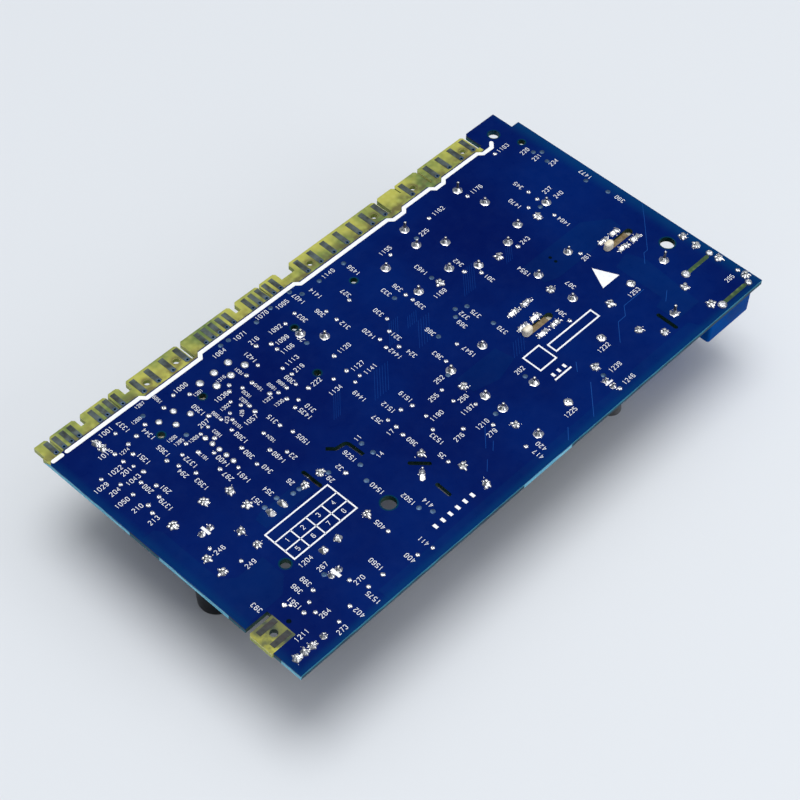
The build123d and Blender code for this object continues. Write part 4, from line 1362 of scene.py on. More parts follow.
@dataclass
class Print:
    """Everything screen-printed in white on the solder side, and its thickness in millimetres."""

    rise: float = 0.055
    line_width: float = 1.2
    border: tuple[Flat, ...] = (
        (5.7, 6.4), (30.2, 6.4), (31.4, 7.7), (50.2, 7.7), (51.4, 6.3), (86.0, 6.3), (87.3, 7.5),
        (121.0, 7.5), (122.3, 8.7), (126.4, 8.7), (127.7, 7.5), (138.2, 7.5), (139.4, 8.7), (142.6, 8.7),
        (143.9, 7.5), (158.0, 7.5), (159.3, 8.7), (162.9, 8.7), (164.3, 7.3),
    )
    short_border: tuple[Flat, ...] = ((1.2, 6.4), (4.0, 6.4))
    # bars: first end, second end and width
    bars: tuple[tuple[Flat, Flat, float], ...] = (
        ((13.2, 47.6), (13.2, 50.6), 0.8), (
            (117.7, 89.1), (120.3, 89.1), 0.5
        ), ((26.5, 79.1), (26.5, 82.1), 1.0),
        ((109.8, 78.5), (116.2, 78.5), 0.5),
    )
    table: Limits = (22.4, 60.4, 44.0, 70.6)
    columns: Triple = (27.7, 33.1, 38.4)
    frames: tuple[Limits, ...] = ((109.6, 67.6, 115.8, 73.7), (117.6, 69.2, 135.0, 72.2))
    arrow: tuple[Flat, ...] = ((147.0, 59.6), (143.5, 66.5), (150.3, 66.5))
    # rows of short upright strokes: places across, first and last place down, and width
    strokes: tuple[tuple[tuple[float, ...], float, float, float], ...] = (
        ((53.5, 56.2, 58.9, 61.6, 64.3, 67.0), 87.6, 89.0, 0.9), ((110.8, 113.0, 115.2), 76.4, 77.6, 0.8),
    )

    def _line(self, shape: Shape, path: Sequence[Flat], width: float, closed: bool = False) -> None:
        """Adds one line with square ends, all in millimetres."""
        high = plan.top + self.rise * MM
        ribbon(shape, [plan.flat(*c) for c in path], width * MM, plan.top, high, closed)

    def _frame(self, shape: Shape, limits: Limits, width: float) -> None:
        """Adds the outline of a rectangle, from its left, upper, right and lower limits."""
        left, upper, right, lower = limits
        self._line(shape, [(left, upper), (right, upper), (right, lower), (left, lower)], width, True)

    def _number(self, shape: Shape, text: str, middle: Flat, size: Lettering, way: Way) -> None:
        """Adds one number.

        Args:
            shape: Where it goes.
            text: Its digits.
            middle: Its middle, across and down.
            size: Its lettering.
            way: The direction that it reads in.
        """
        unit = size.height / 6
        narrow = unit * 0.8
        turn = radians(way.value)
        cx, cy = plan.flat(*middle)
        start = -((len(text) - 1) * size.advance + 4 * narrow) / 2
        for place, digit in enumerate(text):
            for closed, points in DIGITS[digit]:
                path = []
                for px, py in points:
                    x = (start + place * size.advance + px * narrow) * MM
                    y = (py * unit - size.height / 2) * MM
                    path.append((cx + x * cos(turn) - y * sin(turn), cy + x * sin(turn) + y * cos(turn)))
                ribbon(shape, path, size.line * MM, plan.top, plan.top + self.rise * MM, closed)

    def _numbers(self, shape: Shape) -> None:
        """Adds every reference number, counted on through the lists."""
        counts = {2: 11, 3: 201, 4: 1001}
        for rows, size, way in (
            (along_numbers, plain_size, Way.ALONG),
            (small_along_numbers, small_size, Way.ALONG),
            (upward_numbers, plain_size, Way.UP),
            (small_upward_numbers, small_size, Way.UP),
            (slanting_numbers, small_size, Way.SLANT),
        ):
            for across, down, digits in rows:
                self._number(shape, str(counts[digits]), (across, down), size, way)
                counts[digits] += 7 if digits == 4 else 3
        left, upper, _, _ = self.table
        for column in range(4):
            for row, first in enumerate((1, 5)):
                middle = (left + 2.8 + column * 5.3, upper + 4.9 + row * 3.6)
                self._number(shape, str(first + column), middle, plain_size, Way.ALONG)

    def _table(self, shape: Shape) -> None:
        """Adds the ruled table."""
        left, upper, right, lower = self.table
        self._frame(shape, self.table, 0.42)
        for down in (upper + 3.3, upper + 6.9):
            self._line(shape, [(left, down), (right, down)], 0.36)
        for across in self.columns:
            self._line(shape, [(across, upper + 3.3), (across, lower)], 0.36)

    def _marks(self, shape: Shape) -> None:
        """Adds the solder-flow arrow, the empty frames kept for stickers and the rows of strokes."""
        shape.prism([plan.flat(*c) for c in self.arrow], plan.top, plan.top + self.rise * MM)
        for limits in self.frames:
            self._frame(shape, limits, 0.45)
        for places, upper, lower, width in self.strokes:
            for across in places:
                self._line(shape, [(across, upper), (across, lower)], width)

    def build(self, shop: Workshop) -> None:
        """Builds the border line and the printed marks as two pieces."""
        lines = Shape()
        for path in (self.border, self.short_border):
            outline = stroke([plan.flat(*c) for c in path], self.line_width * MM)
            lines.prism(outline, plan.top, plan.top + self.rise * MM)
        settle(lines.make("printed_border", shop.all(white_ink), 30), "laminate")
        marks = Shape()
        for start, end, width in self.bars:
            self._line(marks, [start, end], width)
        self._table(marks)
        self._marks(marks)
        self._numbers(marks)
        settle(marks.make("printed_marks", shop.all(white_ink), 30), "laminate")


POUR, TRACE, FAINT = range(3)
PAD, PIT, RING = range(3)


@dataclass
class Copper:
    """Pours and traces that show through the lacquer, and the bare pads, in millimetres."""

    pour_rise: float = 0.02
    trace_rise: float = 0.032
    pours: tuple[tuple[Flat, ...], ...] = (
        ((0.6, 40.0), (4.4, 40.0), (5.6, 42.0), (5.6, 62.0), (9.0, 64.6), (17.4, 64.6), (17.4, 72.0),
         (13.0, 76.0), (0.6, 76.0)),
        ((30.0, 91.4), (118.0, 91.4), (120.0, 90.6), (150.0, 90.6), (152.0, 94.7), (30.0, 94.7)),
        ((134.0, 46.0), (158.0, 46.0), (165.0, 51.0), (165.0, 55.4), (138.0, 55.4), (134.0, 54.0)),
        ((24.0, 55.4), (26.0, 54.6), (40.4, 54.6), (40.4, 59.2), (24.0, 59.2)),
        (
            (152.0, 64.0), (158.0, 62.5), (160.0, 68.0), (158.0, 88.0), (148.4, 88.0), (148.4, 81.0),
            (152.0, 80.0)
        ),
        ((92.0, 60.0), (107.0, 60.0), (108.0, 66.0), (100.0, 68.0), (92.0, 66.0)),
    )
    traces: tuple[tuple[Flat, ...], ...] = (
        ((131.7, 82.3), (137.0, 77.2), (140.0, 77.2), (142.6, 74.6), (151.0, 74.6)),
        ((107.5, 93.6), (115.8, 85.5)),
        ((116.0, 80.8), (118.4, 78.3)),
        ((97.0, 94.0), (100.2, 91.1)),
        ((158.5, 68.8), (161.5, 66.0), (163.0, 66.0), (171.5, 58.0), (176.0, 53.5)),
        ((151.7, 81.6), (155.0, 79.3)),
        ((80.3, 80.8), (85.5, 75.8)),
        ((81.0, 82.6), (83.5, 80.5)),
        ((75.0, 86.0), (78.0, 83.4)),
    )
    # fields of short slanting traces: across and down limits, and their number
    slants: tuple[tuple[float, float, float, float, int], ...] = (
        (60.0, 40.0, 63.0, 47.0, 4), (88.0, 34.0, 92.0, 40.0, 5), (115.0, 35.0, 120.0, 42.0, 6),
        (96.0, 36.0, 100.0, 39.0, 5), (132.0, 38.0, 135.0, 42.0, 4), (72.0, 43.0, 78.0, 50.0, 6),
        (93.0, 39.0, 98.0, 46.0, 5), (108.0, 62.0, 113.0, 66.0, 5),
    )
    pads: tuple[Flat, ...] = (
        (57.0, 8.2), (59.7, 8.3), (69.3, 9.0), (75.4, 8.0), (83.0, 7.5), (84.9, 10.4),
        (91.5, 10.3), (100.8, 10.4), (26.7, 11.4), (30.3, 23.8), (73.5, 23.6), (121.6, 18.0),
        (101.3, 29.0), (113.7, 31.0), (169.9, 18.4), (171.7, 20.1), (169.9, 23.6), (171.7, 36.5),
        (172.7, 43.8), (28.2, 54.3), (32.3, 54.3), (38.2, 56.3), (47.0, 57.8), (54.3, 61.8),
        (59.4, 57.3), (59.4, 61.3), (51.8, 66.4), (91.5, 57.5), (99.5, 46.7), (107.8, 45.2),
        (109.8, 43.2), (112.8, 44.8), (113.3, 53.8), (105.3, 72.1), (90.5, 75.0), (54.8, 81.5),
        (56.4, 84.7), (24.2, 78.9), (119.9, 86.4), (154.8, 34.2), (36.2, 56.2),
    )
    pad_radius: float = 0.7
    strips: tuple[tuple[Flat, Flat], ...] = (((164.5, 79.2), (172.5, 79.2)), ((162.5, 93.0), (171.5, 93.0)))
    # dark discs of painted shade for small holes: across, down and radius
    pits: tuple[Triple, ...] = ((142.0, 48.9, 0.5), (142.0, 50.9, 0.5), (8.8, 82.4, 0.65))
    # across, down and radius of the holes with a ring clear of copper, and the width of that ring
    holes: tuple[Triple, ...] = (
        (25.8, 19.3, 1.0), (41.8, 17.5, 1.0), (75.0, 17.5, 1.0), (68.2, 32.8, 1.0), (98.2, 16.8, 1.0),
        (170.6, 13.3, 1.0), (167.3, 5.5, 1.6), (50.7, 75.1, 2.1), (169.0, 68.2, 2.1), (19.9, 70.0, 1.4),
    )
    clear_ring: float = 0.38

    def build(self, shop: Workshop) -> None:
        """Builds the copper under lacquer, the bare pads and strips, and the vias in the fingers."""
        hidden = Shape()
        for outline in self.pours:
            corners = [plan.flat(*c) for c in reversed(outline)]
            hidden.prism(corners, plan.top, plan.top + self.pour_rise * MM, POUR)
        for path in self.traces:
            self._trace(hidden, path, 0.17)
        for left, upper, right, lower, count in self.slants:
            step = (right - left) / count
            for i in range(count):
                across = left + i * step
                self._trace(
                    hidden, ((across, lower), (across + (lower - upper) * 0.98, upper)), 0.14, FAINT
                )
        finishes = shop.all(mask_copper, mask_trace, mask_faint)
        settle(hidden.make("copper_under_mask", finishes, 30), "laminate")

        bare = Shape()
        for across, down in self.pads:
            levels = [(plan.top, 0.0), (plan.top + 0.05 * MM, 0.0), (plan.top + 0.09 * MM, 0.25 * MM)]
            bare.button(plan.flat(across, down), self.pad_radius * MM, levels, 20)
        # Pits: dark discs of painted shade over small holes.
        for across, down, radius in self.pits:
            centre = plan.flat(across, down)
            bare.prism(circle(radius * MM, 16, centre), plan.top, plan.top + 0.04 * MM, PIT)
        for across, down, radius in self.holes:
            inner, outer = (radius + 0.02) * MM, (radius + self.clear_ring) * MM
            rise = plan.top + 0.03 * MM
            levels = ((inner, plan.top), (outer, plan.top), (outer - 0.06 * MM, rise), (inner, rise))
            rings = [
                [Vector((*corner, height)) for corner in circle(reach, 28, plan.flat(across, down))]
                for reach, height in levels
            ]
            bare.loft(rings, RING, closed=True)
        settle(bare.make("bare_pads", shop.all(via_ring, painted_shade_dark, hole_ring), 40), "solder")

        strips = Shape()
        for start, end in self.strips:
            outline = stroke([plan.flat(*start), plan.flat(*end)], 1.2 * MM)
            strips.prism(outline, plan.top, plan.top + 0.035 * MM)
        settle(strips.make("bare_strips", shop.all(bare_copper_side), 30), "laminate")
        self._vias(shop)

    def _trace(self, shape: Shape, path: Sequence[Flat], width: float, kind: int = TRACE) -> None:
        """Adds one trace."""
        high = plan.top + self.trace_rise * MM
        ribbon(shape, [plan.flat(*c) for c in path], width * MM, plan.top, high, kind=kind)

    def _vias(self, shop: Workshop) -> None:
        """Adds the plated via at the inner end of every finger, its bore a dark disc of painted shade."""
        vias = Shape()
        for low, high in islands("edge_fingers"):
            if high.y - low.y < 3 * MM:
                continue
            centre = ((low.x + high.x) / 2, low.y + (0.75 if high.y - low.y < 5.2 * MM else 0.4) * MM)
            vias.prism(circle(0.62 * MM, 18, centre), high.z - 0.06 * MM, high.z + 0.02 * MM, PAD)
            # the bore: a dark disc of painted shade
            vias.prism(circle(0.34 * MM, 14, centre), high.z, high.z + 0.035 * MM, PIT)
        settle(vias.make("finger_vias", shop.all(via_ring, painted_shade_dark), 40), "finger_metal")


# ---------------------------------------------------------------- solder


@dataclass(frozen=True)
class Joint:
    """Shape of one kind of solder joint, in millimetres.

    Attributes:
        radius: Reach of the solder on the board.
        height: Where it ends on the lead.
        hollow: Above 1 the fillet is hollow, below 1 it is full.
        lead: Radius of the lead.
        lobes: Number of ridges.
        depth: How far the valleys between them draw in.
        drops: Number of stray drops round it.
        long: How much longer than wide it is.
        turn: Direction of its length, in degrees.
    """

    radius: float
    height: float
    hollow: float = 1.7
    lead: float = 0.3
    lobes: int = 7
    depth: float = 0.12
    drops: int = 1
    long: float = 1.0
    turn: float = 0.0


CONE = Joint(1.42, 0.95, 1.35, 0.33, 6, 0.06, 0)
SMALL = Joint(1.0, 0.75, 1.3, 0.26, 5, 0.12, 2)
STAR_CORE = Joint(1.24, 0.85, 0.68, 0.38, 5, 0.12, 0)
SPIKE = Joint(1.5, 1.25, 1.5, 0.34, 6, 0.12, 2)
BLOB = Joint(1.3, 0.85, 0.75, 0.3, 5, 0.18, 2)
OVAL = Joint(1.15, 0.8, 0.8, 0.28, 3, 0.1, 0, long=1.4, turn=90.0)
CROSS = Joint(1.36, 0.85, 0.75, 0.28, 4, 0.2, 0)
WIDE_OVAL = Joint(1.05, 0.7, 0.7, 0.3, 4, 0.1, 1, long=2.0, turn=45.0)
BESIDE_OVAL = Joint(0.7, 0.8, 0.8, 0.26, 4, 0.12, 0)


class Style(Enum):
    """Kinds of joint that lie at single places instead of their neighbours' kind."""

    STAR = "star"
    SPIKE = "spike"
    OVAL = "oval"
    CROSS = "cross"
    DOME = "dome"
    WIDE_OVAL = "wide oval"
    BLOB = "blob"


BRIGHT, LEAD, DARK, DULL = range(4)


@dataclass
class Solder:
    """Every joint on the solder side, each from the CAD solid that stands in its place.

    Attributes:
        seed: Seed of the small differences between joints.
        crease_turn: Direction of the crease in the beads over vias, in radians.
        near: Distance within which a place means a joint, in millimetres.
        sunk: Depth of the ridges' undersides in the board, in millimetres.
        odd_joints: Across, down and kind of the joints that differ from their neighbours.
        long_leads: Across and down of the cone joints with the longest leads.
        beads: Across, down, radius and height of single beads without a lead.
        extra_joint: Across and down of a small joint that no CAD solid stands for.
        fillet_shares: Shares of a joint's reach at which its rings lie, from the board to the lead.
        lead_rows: Share of a lead's height and of its radius at each ring.
        ridge_rows: Share of a ridge's length and of its width at each ring.
        disc_rows: Share of a low joint's radius and of its height at each ring.
        drop_rows: Share of a drop's radius and its height, in radii, at each ring.
        nodes: The CAD nodes, in the order that they are built in.
        dice: Draws the small differences.
    """

    seed: int = 20
    crease_turn: float = 3.8696
    near: float = 0.6
    sunk: float = 0.03
    odd_joints: tuple[tuple[float, float, Style], ...] = (
        (140.5, 71.6, Style.STAR), (150.2, 85.9, Style.SPIKE), (62.9, 75.0, Style.WIDE_OVAL),
        (28.2, 56.5, Style.OVAL), (32.2, 56.5, Style.OVAL), (
            29.2, 73.7, Style.CROSS
        ), (34.2, 73.7, Style.CROSS),
        (40.0, 56.5, Style.STAR), (45.4, 56.5, Style.STAR), (44.4, 73.7, Style.STAR), (
            163.3, 79.2, Style.DOME
        ),
        (161.5, 93.2, Style.DOME), (172.9, 93.2, Style.DOME), (174.0, 78.9, Style.DOME),
        (2.7, 91.2, Style.BLOB), (5.3, 91.2, Style.BLOB), (7.8, 91.2, Style.BLOB),
        (12.5, 12.2, Style.BLOB), (12.5, 9.7, Style.BLOB),
    )
    long_leads: tuple[Flat, ...] = ((121.7, 13.4), (143.3, 13.4), (163.3, 71.6))
    beads: tuple[tuple[float, float, float, float], ...] = ((11.2, 78.4, 0.75, 0.4), (12.2, 79.5, 0.5, 0.3))
    extra_joint: Flat = (11.6, 91.2)
    fillet_shares: tuple[float, ...] = (1.0, 0.94, 0.82, 0.68, 0.54, 0.42, 0.33, 0.26)
    lead_rows: tuple[Flat, ...] = (
        (0.0, 1.0), (0.5, 0.94), (0.8, 0.94), (0.82, 1.12), (0.92, 1.1), (0.985, 0.8), (1.0, 0.35)
    )
    ridge_rows: tuple[Flat, ...] = (
        (0.0, 0.35), (0.18, 0.7), (0.42, 0.92), (0.66, 1.0), (0.84, 0.84), (0.95, 0.5), (1.0, 0.14)
    )
    disc_rows: tuple[Flat, ...] = (
        (1.0, 0.0), (0.96, 0.42), (0.84, 0.8), (0.66, 1.0), (0.5, 1.04), (0.3, 1.06), (0.1, 1.1)
    )
    drop_rows: tuple[Flat, ...] = ((1.0, -0.05), (0.95, 0.3), (0.6, 0.62), (0.2, 0.75))
    nodes: tuple[str, ...] = (
        "cone_joints", "small_joints", "star_joints", "header_joints", "round_joints", "tab_joints",
        "test_points",
    )
    dice: random.Random = field(init=False)

    def __post_init__(self) -> None:
        """Seeds the small differences between joints."""
        self.dice = random.Random(self.seed)

    def _drop(self, shape: Shape, x: float, y: float, radius: float) -> None:
        """Adds one stray drop."""
        rings = [
            [Vector((px, py, plan.top + rise * radius)) for px, py in circle(radius * share, 8, (x, y))]
            for share, rise in self.drop_rows
        ]
        shape.loft(rings, BRIGHT)

    def _lead(self, centre: Vector, start: float, top: float, radius: float, sides: int) -> list[Ring]:
        """Rings of a lead's cut end above a joint, leaning a little, the heights in millimetres.

        Args:
            centre: Middle of the joint on the board.
            start: Height of the first ring.
            top: Height of the last ring.
            radius: Radius of the lead, in millimetres.
            sides: Corners of each ring.

        Returns:
            The rings, upwards.
        """
        lean = Vector((self.dice.uniform(-0.12, 0.12), self.dice.uniform(-0.12, 0.12), 0))
        rings: list[Ring] = []
        for share, grow in self.lead_rows:
            rise = start + (top - start) * share
            offset = lean * (rise - start)
            ring = []
            for a in angles(sides):
                square = min(1.12, 0.9 / max(abs(cos(a)), abs(sin(a))))
                flat = Vector((cos(a), sin(a), 0)) * radius * grow * square
                ring.append(centre + (flat + offset + Vector((0, 0, rise))) * MM)
            rings.append(ring)
        return rings

    def _fillet(self, shape: Shape, centre: Vector, kind: Joint, lead_top: float, sides: int = 28) -> None:
        """Adds one joint round a lead.

        Args:
            shape: Where it goes.
            centre: Middle of the joint on the board.
            kind: Its shape.
            lead_top: Height of the lead's end above the board, in metres.
            sides: Corners of each ring.
        """
        turn = self.dice.uniform(0, 2 * pi)
        seed = Vector((self.dice.uniform(0, 50), 0, 0))
        rings: list[Ring] = []
        shares = self.fillet_shares
        inner = kind.lead / kind.radius
        for share in shares:
            ring = []
            for a in angles(sides):
                ridge = 0.5 + 0.5 * cos(kind.lobes * (a - turn))
                rough = noise.noise(seed + Vector((cos(a) * 1.7, sin(a) * 1.7, share)))
                reach = kind.radius * (1 - kind.depth * (1 - ridge) + 0.1 * rough)
                away = max(share, inner) if share > 0.3 else inner * 1.12
                fade = max(0.0, min(1.0, (1 - share) / (1 - shares[-1])))
                swell = 1 + kind.depth * 2.2 * (ridge - 0.5) * (1 - fade) + 0.3 * rough * (1 - fade)
                rise = kind.height * fade**kind.hollow * swell
                spot = Vector((cos(a) * reach * away, sin(a) * reach * away, rise))
                if kind.long > 1.0:
                    way = Vector((cos(radians(kind.turn)), sin(radians(kind.turn)), 0))
                    spot += way * spot.dot(way) * (kind.long - 1.0) * (1 - fade)
                ring.append(centre + spot * MM)
            rings.append(ring)
        tip = self._lead(
            centre, kind.height, lead_top / MM, kind.lead * self.dice.uniform(0.9, 1.12), sides
        )
        kinds = [BRIGHT] * len(shares) + [LEAD] * 5 + [BRIGHT]
        shape.loft(rings + tip, kinds, caps=(BRIGHT, BRIGHT))
        for _ in range(kind.drops):
            a = self.dice.uniform(0, 2 * pi)
            away = kind.radius * self.dice.uniform(0.95, 1.35) * MM
            self._drop(
                shape, centre.x + cos(a) * away, centre.y + sin(a) * away,
                self.dice.uniform(0.1, 0.2) * MM
            )

    def _petal(
        self, shape: Shape, centre: Vector, turn: float, span: Flat, wide: float, high: float
    ) -> None:
        """Adds one ridge of a splashed joint.

        Args:
            shape: Where it goes.
            centre: Middle of the joint.
            turn: Direction of the ridge.
            span: Where it starts and ends, from the middle, in millimetres.
            wide: Its half width at its fullest, in millimetres.
            high: Its height, in millimetres.
        """
        out, aside = Vector((cos(turn), sin(turn), 0)), Vector((-sin(turn), cos(turn), 0))
        bow = self.dice.uniform(-0.16, 0.16)
        rings: list[Ring] = []
        for share, full in self.ridge_rows:
            along = span[0] + (span[1] - span[0]) * share
            drop = 1.0 - 0.45 * share
            ring = []
            for k in range(9):
                a = pi * k / 8
                side, rise = cos(a) * wide * full + bow * share, sin(a) ** 0.8 * high * full * drop
                ring.append(centre + (out * along + aside * side + UP * rise) * MM)
            for x in (-0.8, 0.8):
                side = x * wide * full + bow * share
                ring.append(centre + (out * along + aside * side - UP * self.sunk) * MM)
            rings.append(ring)
        shape.loft(rings, 0)

    def _star(self, shape: Shape, centre: Vector, lead_top: float) -> None:
        """Adds one splashed joint: a small core, uneven ridges and stray drops round a lead.

        Args:
            shape: Where it goes.
            centre: Its middle on the board.
            lead_top: Height of the lead's end above the board, in metres.
        """
        self._fillet(shape, centre, STAR_CORE, lead_top, 20)
        count = self.dice.choice((5, 6, 7))
        start = self.dice.uniform(0, 2 * pi)
        for i in range(count):
            turn = start + 2 * pi * (i + self.dice.uniform(-0.22, 0.22)) / count
            long = self.dice.choice((1.25, 1.45, 1.55, 1.65, 1.8)) * self.dice.uniform(0.92, 1.05)
            wide = self.dice.uniform(0.32, 0.56)
            self._petal(shape, centre, turn, (0.2, long), wide, self.dice.uniform(0.55, 0.95))
        for _ in range(self.dice.choice((0, 1, 2))):
            a, away = self.dice.uniform(0, 2 * pi), self.dice.uniform(1.3, 1.95) * MM
            self._drop(
                shape, centre.x + cos(a) * away, centre.y + sin(a) * away,
                self.dice.uniform(0.09, 0.2) * MM
            )

    def _dot(self, shape: Shape, centre: Vector, radius: float, height: float) -> None:
        """Adds a low bead over a via, its solder parted by a crease.

        Args:
            shape: Where it goes.
            centre: Its middle on the board.
            radius: Its radius, in millimetres.
            height: Its height, in millimetres.
        """
        turn = self.crease_turn + self.dice.uniform(-0.25, 0.25)
        long = self.dice.uniform(1.0, 1.2)
        sides = 20
        rings = []
        for share in (1.0, 0.92, 0.74, 0.52, 0.3, 0.12):
            ring = []
            for a in angles(sides):
                reach = radius * (1 + (long - 1) * abs(sin(a - turn)) + 0.05 * cos(3 * a + turn))
                x, y = cos(a) * reach * share, sin(a) * reach * share
                aside = x * -sin(turn) + y * cos(turn)
                crease = 1 - 0.75 * exp(-((aside / 0.13) ** 2))
                rise = height * sqrt(max(0.0, 1 - share**2)) * crease
                ring.append(centre + Vector((x, y, rise)) * MM)
            rings.append(ring)
        shape.loft(rings, 0)

    def _splash(self, shape: Shape, low: Vector, high: Vector) -> None:
        """Adds a long uneven joint over a flat leg, with ridges across it and drops beside it.

        Args:
            shape: Where it goes.
            low: Lowest corner of the CAD solid in its place.
            high: Its highest corner.
        """
        centre = Vector((*centre_of(low, high), plan.top))
        half = Vector(((high.x - low.x) / 2 * 1.1, (high.y - low.y) / 2 * 0.86, high.z - plan.top)) / MM
        seed = Vector((self.dice.uniform(0, 90), 3, 0))
        sides, rings = 44, []
        for share in (1.0, 0.94, 0.84, 0.72, 0.58, 0.44, 0.3, 0.16, 0.05):
            ring = []
            for a in angles(sides):
                c, s = cos(a), sin(a)
                square = (abs(c) ** 3.2 + abs(s) ** 3.2) ** (-1 / 3.2)
                rough = noise.noise(seed + Vector((c * 2.6, s * 2.6, 0)))
                reach = square * (0.98 + 0.1 * rough)
                x, y = c * half.x * reach * share, s * half.y * reach * share
                ridge = 0.5 + 0.5 * noise.noise(seed + Vector((x * 2.3, y * 0.7, share)))
                rise = half.z * (1 - share**2.4) ** 0.7 * (0.45 + 0.75 * ridge)
                ring.append(centre + Vector((x, y, min(rise, half.z * 1.3))) * MM)
            rings.append(ring)
        shape.loft(rings, 0)
        for i in range(7):
            along = (i / 6 * 2 - 1) * half.x * 0.86
            start = centre + Vector((along, 0, 0)) * MM
            turn = (pi / 2 if i % 2 else -pi / 2) + self.dice.uniform(-0.5, 0.5)
            reach = half.y * self.dice.uniform(1.0, 1.45)
            self._petal(
                shape, start, turn, (0.1, reach), self.dice.uniform(0.18, 0.28),
                half.z * self.dice.uniform(0.6, 0.95)
            )
        for _ in range(5):
            a = self.dice.uniform(0, 2 * pi)
            x = centre.x + cos(a) * half.x * self.dice.uniform(1.05, 1.3) * MM
            y = centre.y + sin(a) * half.y * self.dice.uniform(1.05, 1.6) * MM
            self._drop(shape, x, y, self.dice.uniform(0.12, 0.26) * MM)

    def _disc(
        self, shape: Shape, centre: Vector, radius: float, height: float, kind: int = BRIGHT,
        lobes: int = 0
    ) -> None:
        """Adds a low joint without a lead, of a radius and height in millimetres.

        Args:
            shape: Where it goes.
            centre: Its middle on the board.
            radius: Its radius.
            height: Its height.
            kind: Its finish.
            lobes: Number of bulges in its outline, or 0.
        """
        seed = Vector((self.dice.uniform(0, 70), 9, 0))
        turn = self.dice.uniform(0, pi)
        sides, rings = 24, []
        for share, lift in self.disc_rows:
            ring = []
            for a in angles(sides):
                rough = noise.noise(seed + Vector((cos(a) * 2.2, sin(a) * 2.2, share * 2)))
                reach = radius * share * (1 + (0.06 * cos(lobes * (a - turn)) if lobes else 0.0) * share)
                rise = height * lift * (1 + 0.3 * rough)
                ring.append(centre + Vector((cos(a) * reach, sin(a) * reach, rise)) * MM)
            rings.append(ring)
        shape.loft(rings, kind)

    def _notched(self, shape: Shape, centre: Vector, radius: float) -> None:
        """Adds a low bright joint with a few dark spots of painted shade round its middle.

        Args:
            shape: Where it goes.
            centre: Its middle on the board.
            radius: Its radius, in millimetres.
        """
        height = 0.4
        self._disc(shape, centre, radius, height, lobes=4)
        start = self.dice.uniform(0, 2 * pi)
        # Dark spots of painted shade between the joint's highlights.
        for i in range(3):
            a = start + 2 * pi * i / 3 + self.dice.uniform(-0.35, 0.35)
            away = radius * self.dice.uniform(0.24, 0.42) * MM
            spot = (centre.x + cos(a) * away, centre.y + sin(a) * away)
            size = self.dice.uniform(0.14, 0.26) * MM
            shape.prism(
                circle(size, 9, spot, a), plan.top + 0.1 * MM, plan.top + (height * 1.06 + 0.06) * MM,
                DARK
            )

    def _lead_share(self, centre: Vector) -> float:
        """Share of its CAD height that a cone joint's lead reaches, most of all at the wound choke."""
        longest = any((plan.spot(*place) - centre).length < self.near * MM for place in self.long_leads)
        return self.dice.uniform(0.93, 0.99) if longest else self.dice.uniform(0.48, 0.7)

    def _style_at(self, centre: Vector) -> Style | None:
        """Kind of the joint at a place, where it differs from its neighbours'."""
        for across, down, style in self.odd_joints:
            if (plan.spot(across, down) - centre).length < self.near * MM:
                return style
        return None

    def _odd(self, shape: Shape, centre: Vector, style: Style, radius: float, tall: float) -> None:
        """Adds one joint of a kind of its own.

        Args:
            shape: Where it goes.
            centre: Its middle on the board.
            style: Its kind.
            radius: Radius of the CAD solid in its place, in metres.
            tall: Height of the longest lead, in metres.
        """
        if style is Style.STAR:
            self._star(shape, centre, self.dice.uniform(1.1, 1.5) * MM)
        elif style is Style.SPIKE:
            self._fillet(shape, centre, SPIKE, tall * 0.97)
        elif style is Style.BLOB:
            self._fillet(shape, centre, BLOB, 1.2 * MM)
            for _ in range(4):
                turn, wide = self.dice.uniform(0, 2 * pi), self.dice.uniform(0.24, 0.36)
                self._petal(shape, centre, turn, (0.3, self.dice.uniform(1.35, 1.75)), wide, 0.6)
        elif style is Style.OVAL:
            self._fillet(shape, centre, OVAL, 1.25 * MM)
        elif style is Style.CROSS:
            self._fillet(shape, centre, CROSS, 1.2 * MM)
        elif style is Style.WIDE_OVAL:
            place = centre + Vector((0.8, 0.8, 0)) * MM
            self._fillet(shape, centre, WIDE_OVAL, 0.95 * MM)
            self._fillet(shape, place, BESIDE_OVAL, 1.5 * MM)
        else:
            self._disc(shape, centre, radius / MM, 0.55, DULL)

    def build(self, shop: Workshop) -> None:
        """Builds every joint, one piece for each CAD node."""
        finishes = shop.all(solder, lead_end, painted_shade_dark, dull_solder)
        tall = max(high.z for _, high in islands("cone_joints")) - plan.top
        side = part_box("board")[1].x
        for node in self.nodes:
            shape = Shape()
            for low, high in islands(node):
                centre = Vector((*centre_of(low, high), plan.top))
                radius, rise = (high.x - low.x) / 2, high.z - plan.top
                style = self._style_at(centre)
                if style:
                    self._odd(shape, centre, style, radius, tall)
                elif node == "cone_joints":
                    self._fillet(shape, centre, CONE, rise * self._lead_share(centre))
                elif node == "small_joints":
                    self._fillet(shape, centre, SMALL, rise * self.dice.uniform(0.86, 0.99))
                elif node == "star_joints":
                    self._star(shape, centre, rise * self.dice.uniform(0.8, 0.99))
                elif node == "header_joints":
                    self._disc(shape, centre, radius / MM, 0.34, DULL)
                elif node == "round_joints":
                    self._notched(shape, centre, radius / MM)
                elif node == "tab_joints":
                    self._splash(shape, low, high)
                else:
                    self._dot(shape, centre, self.dice.uniform(0.58, 0.68), self.dice.uniform(0.4, 0.5))
            if node == "small_joints":
                for across, down, radius, height in self.beads:
                    self._disc(shape, plan.spot(across, down), radius, height, lobes=3)
                self._fillet(shape, plan.spot(*self.extra_joint), SMALL, 1.25 * MM)
            for point in shape.points:
                point.x = min(point.x, side)
            settle(shape.make(f"solder_{node}", finishes, 55), "solder", node)


# ---------------------------------------------------------------- component side


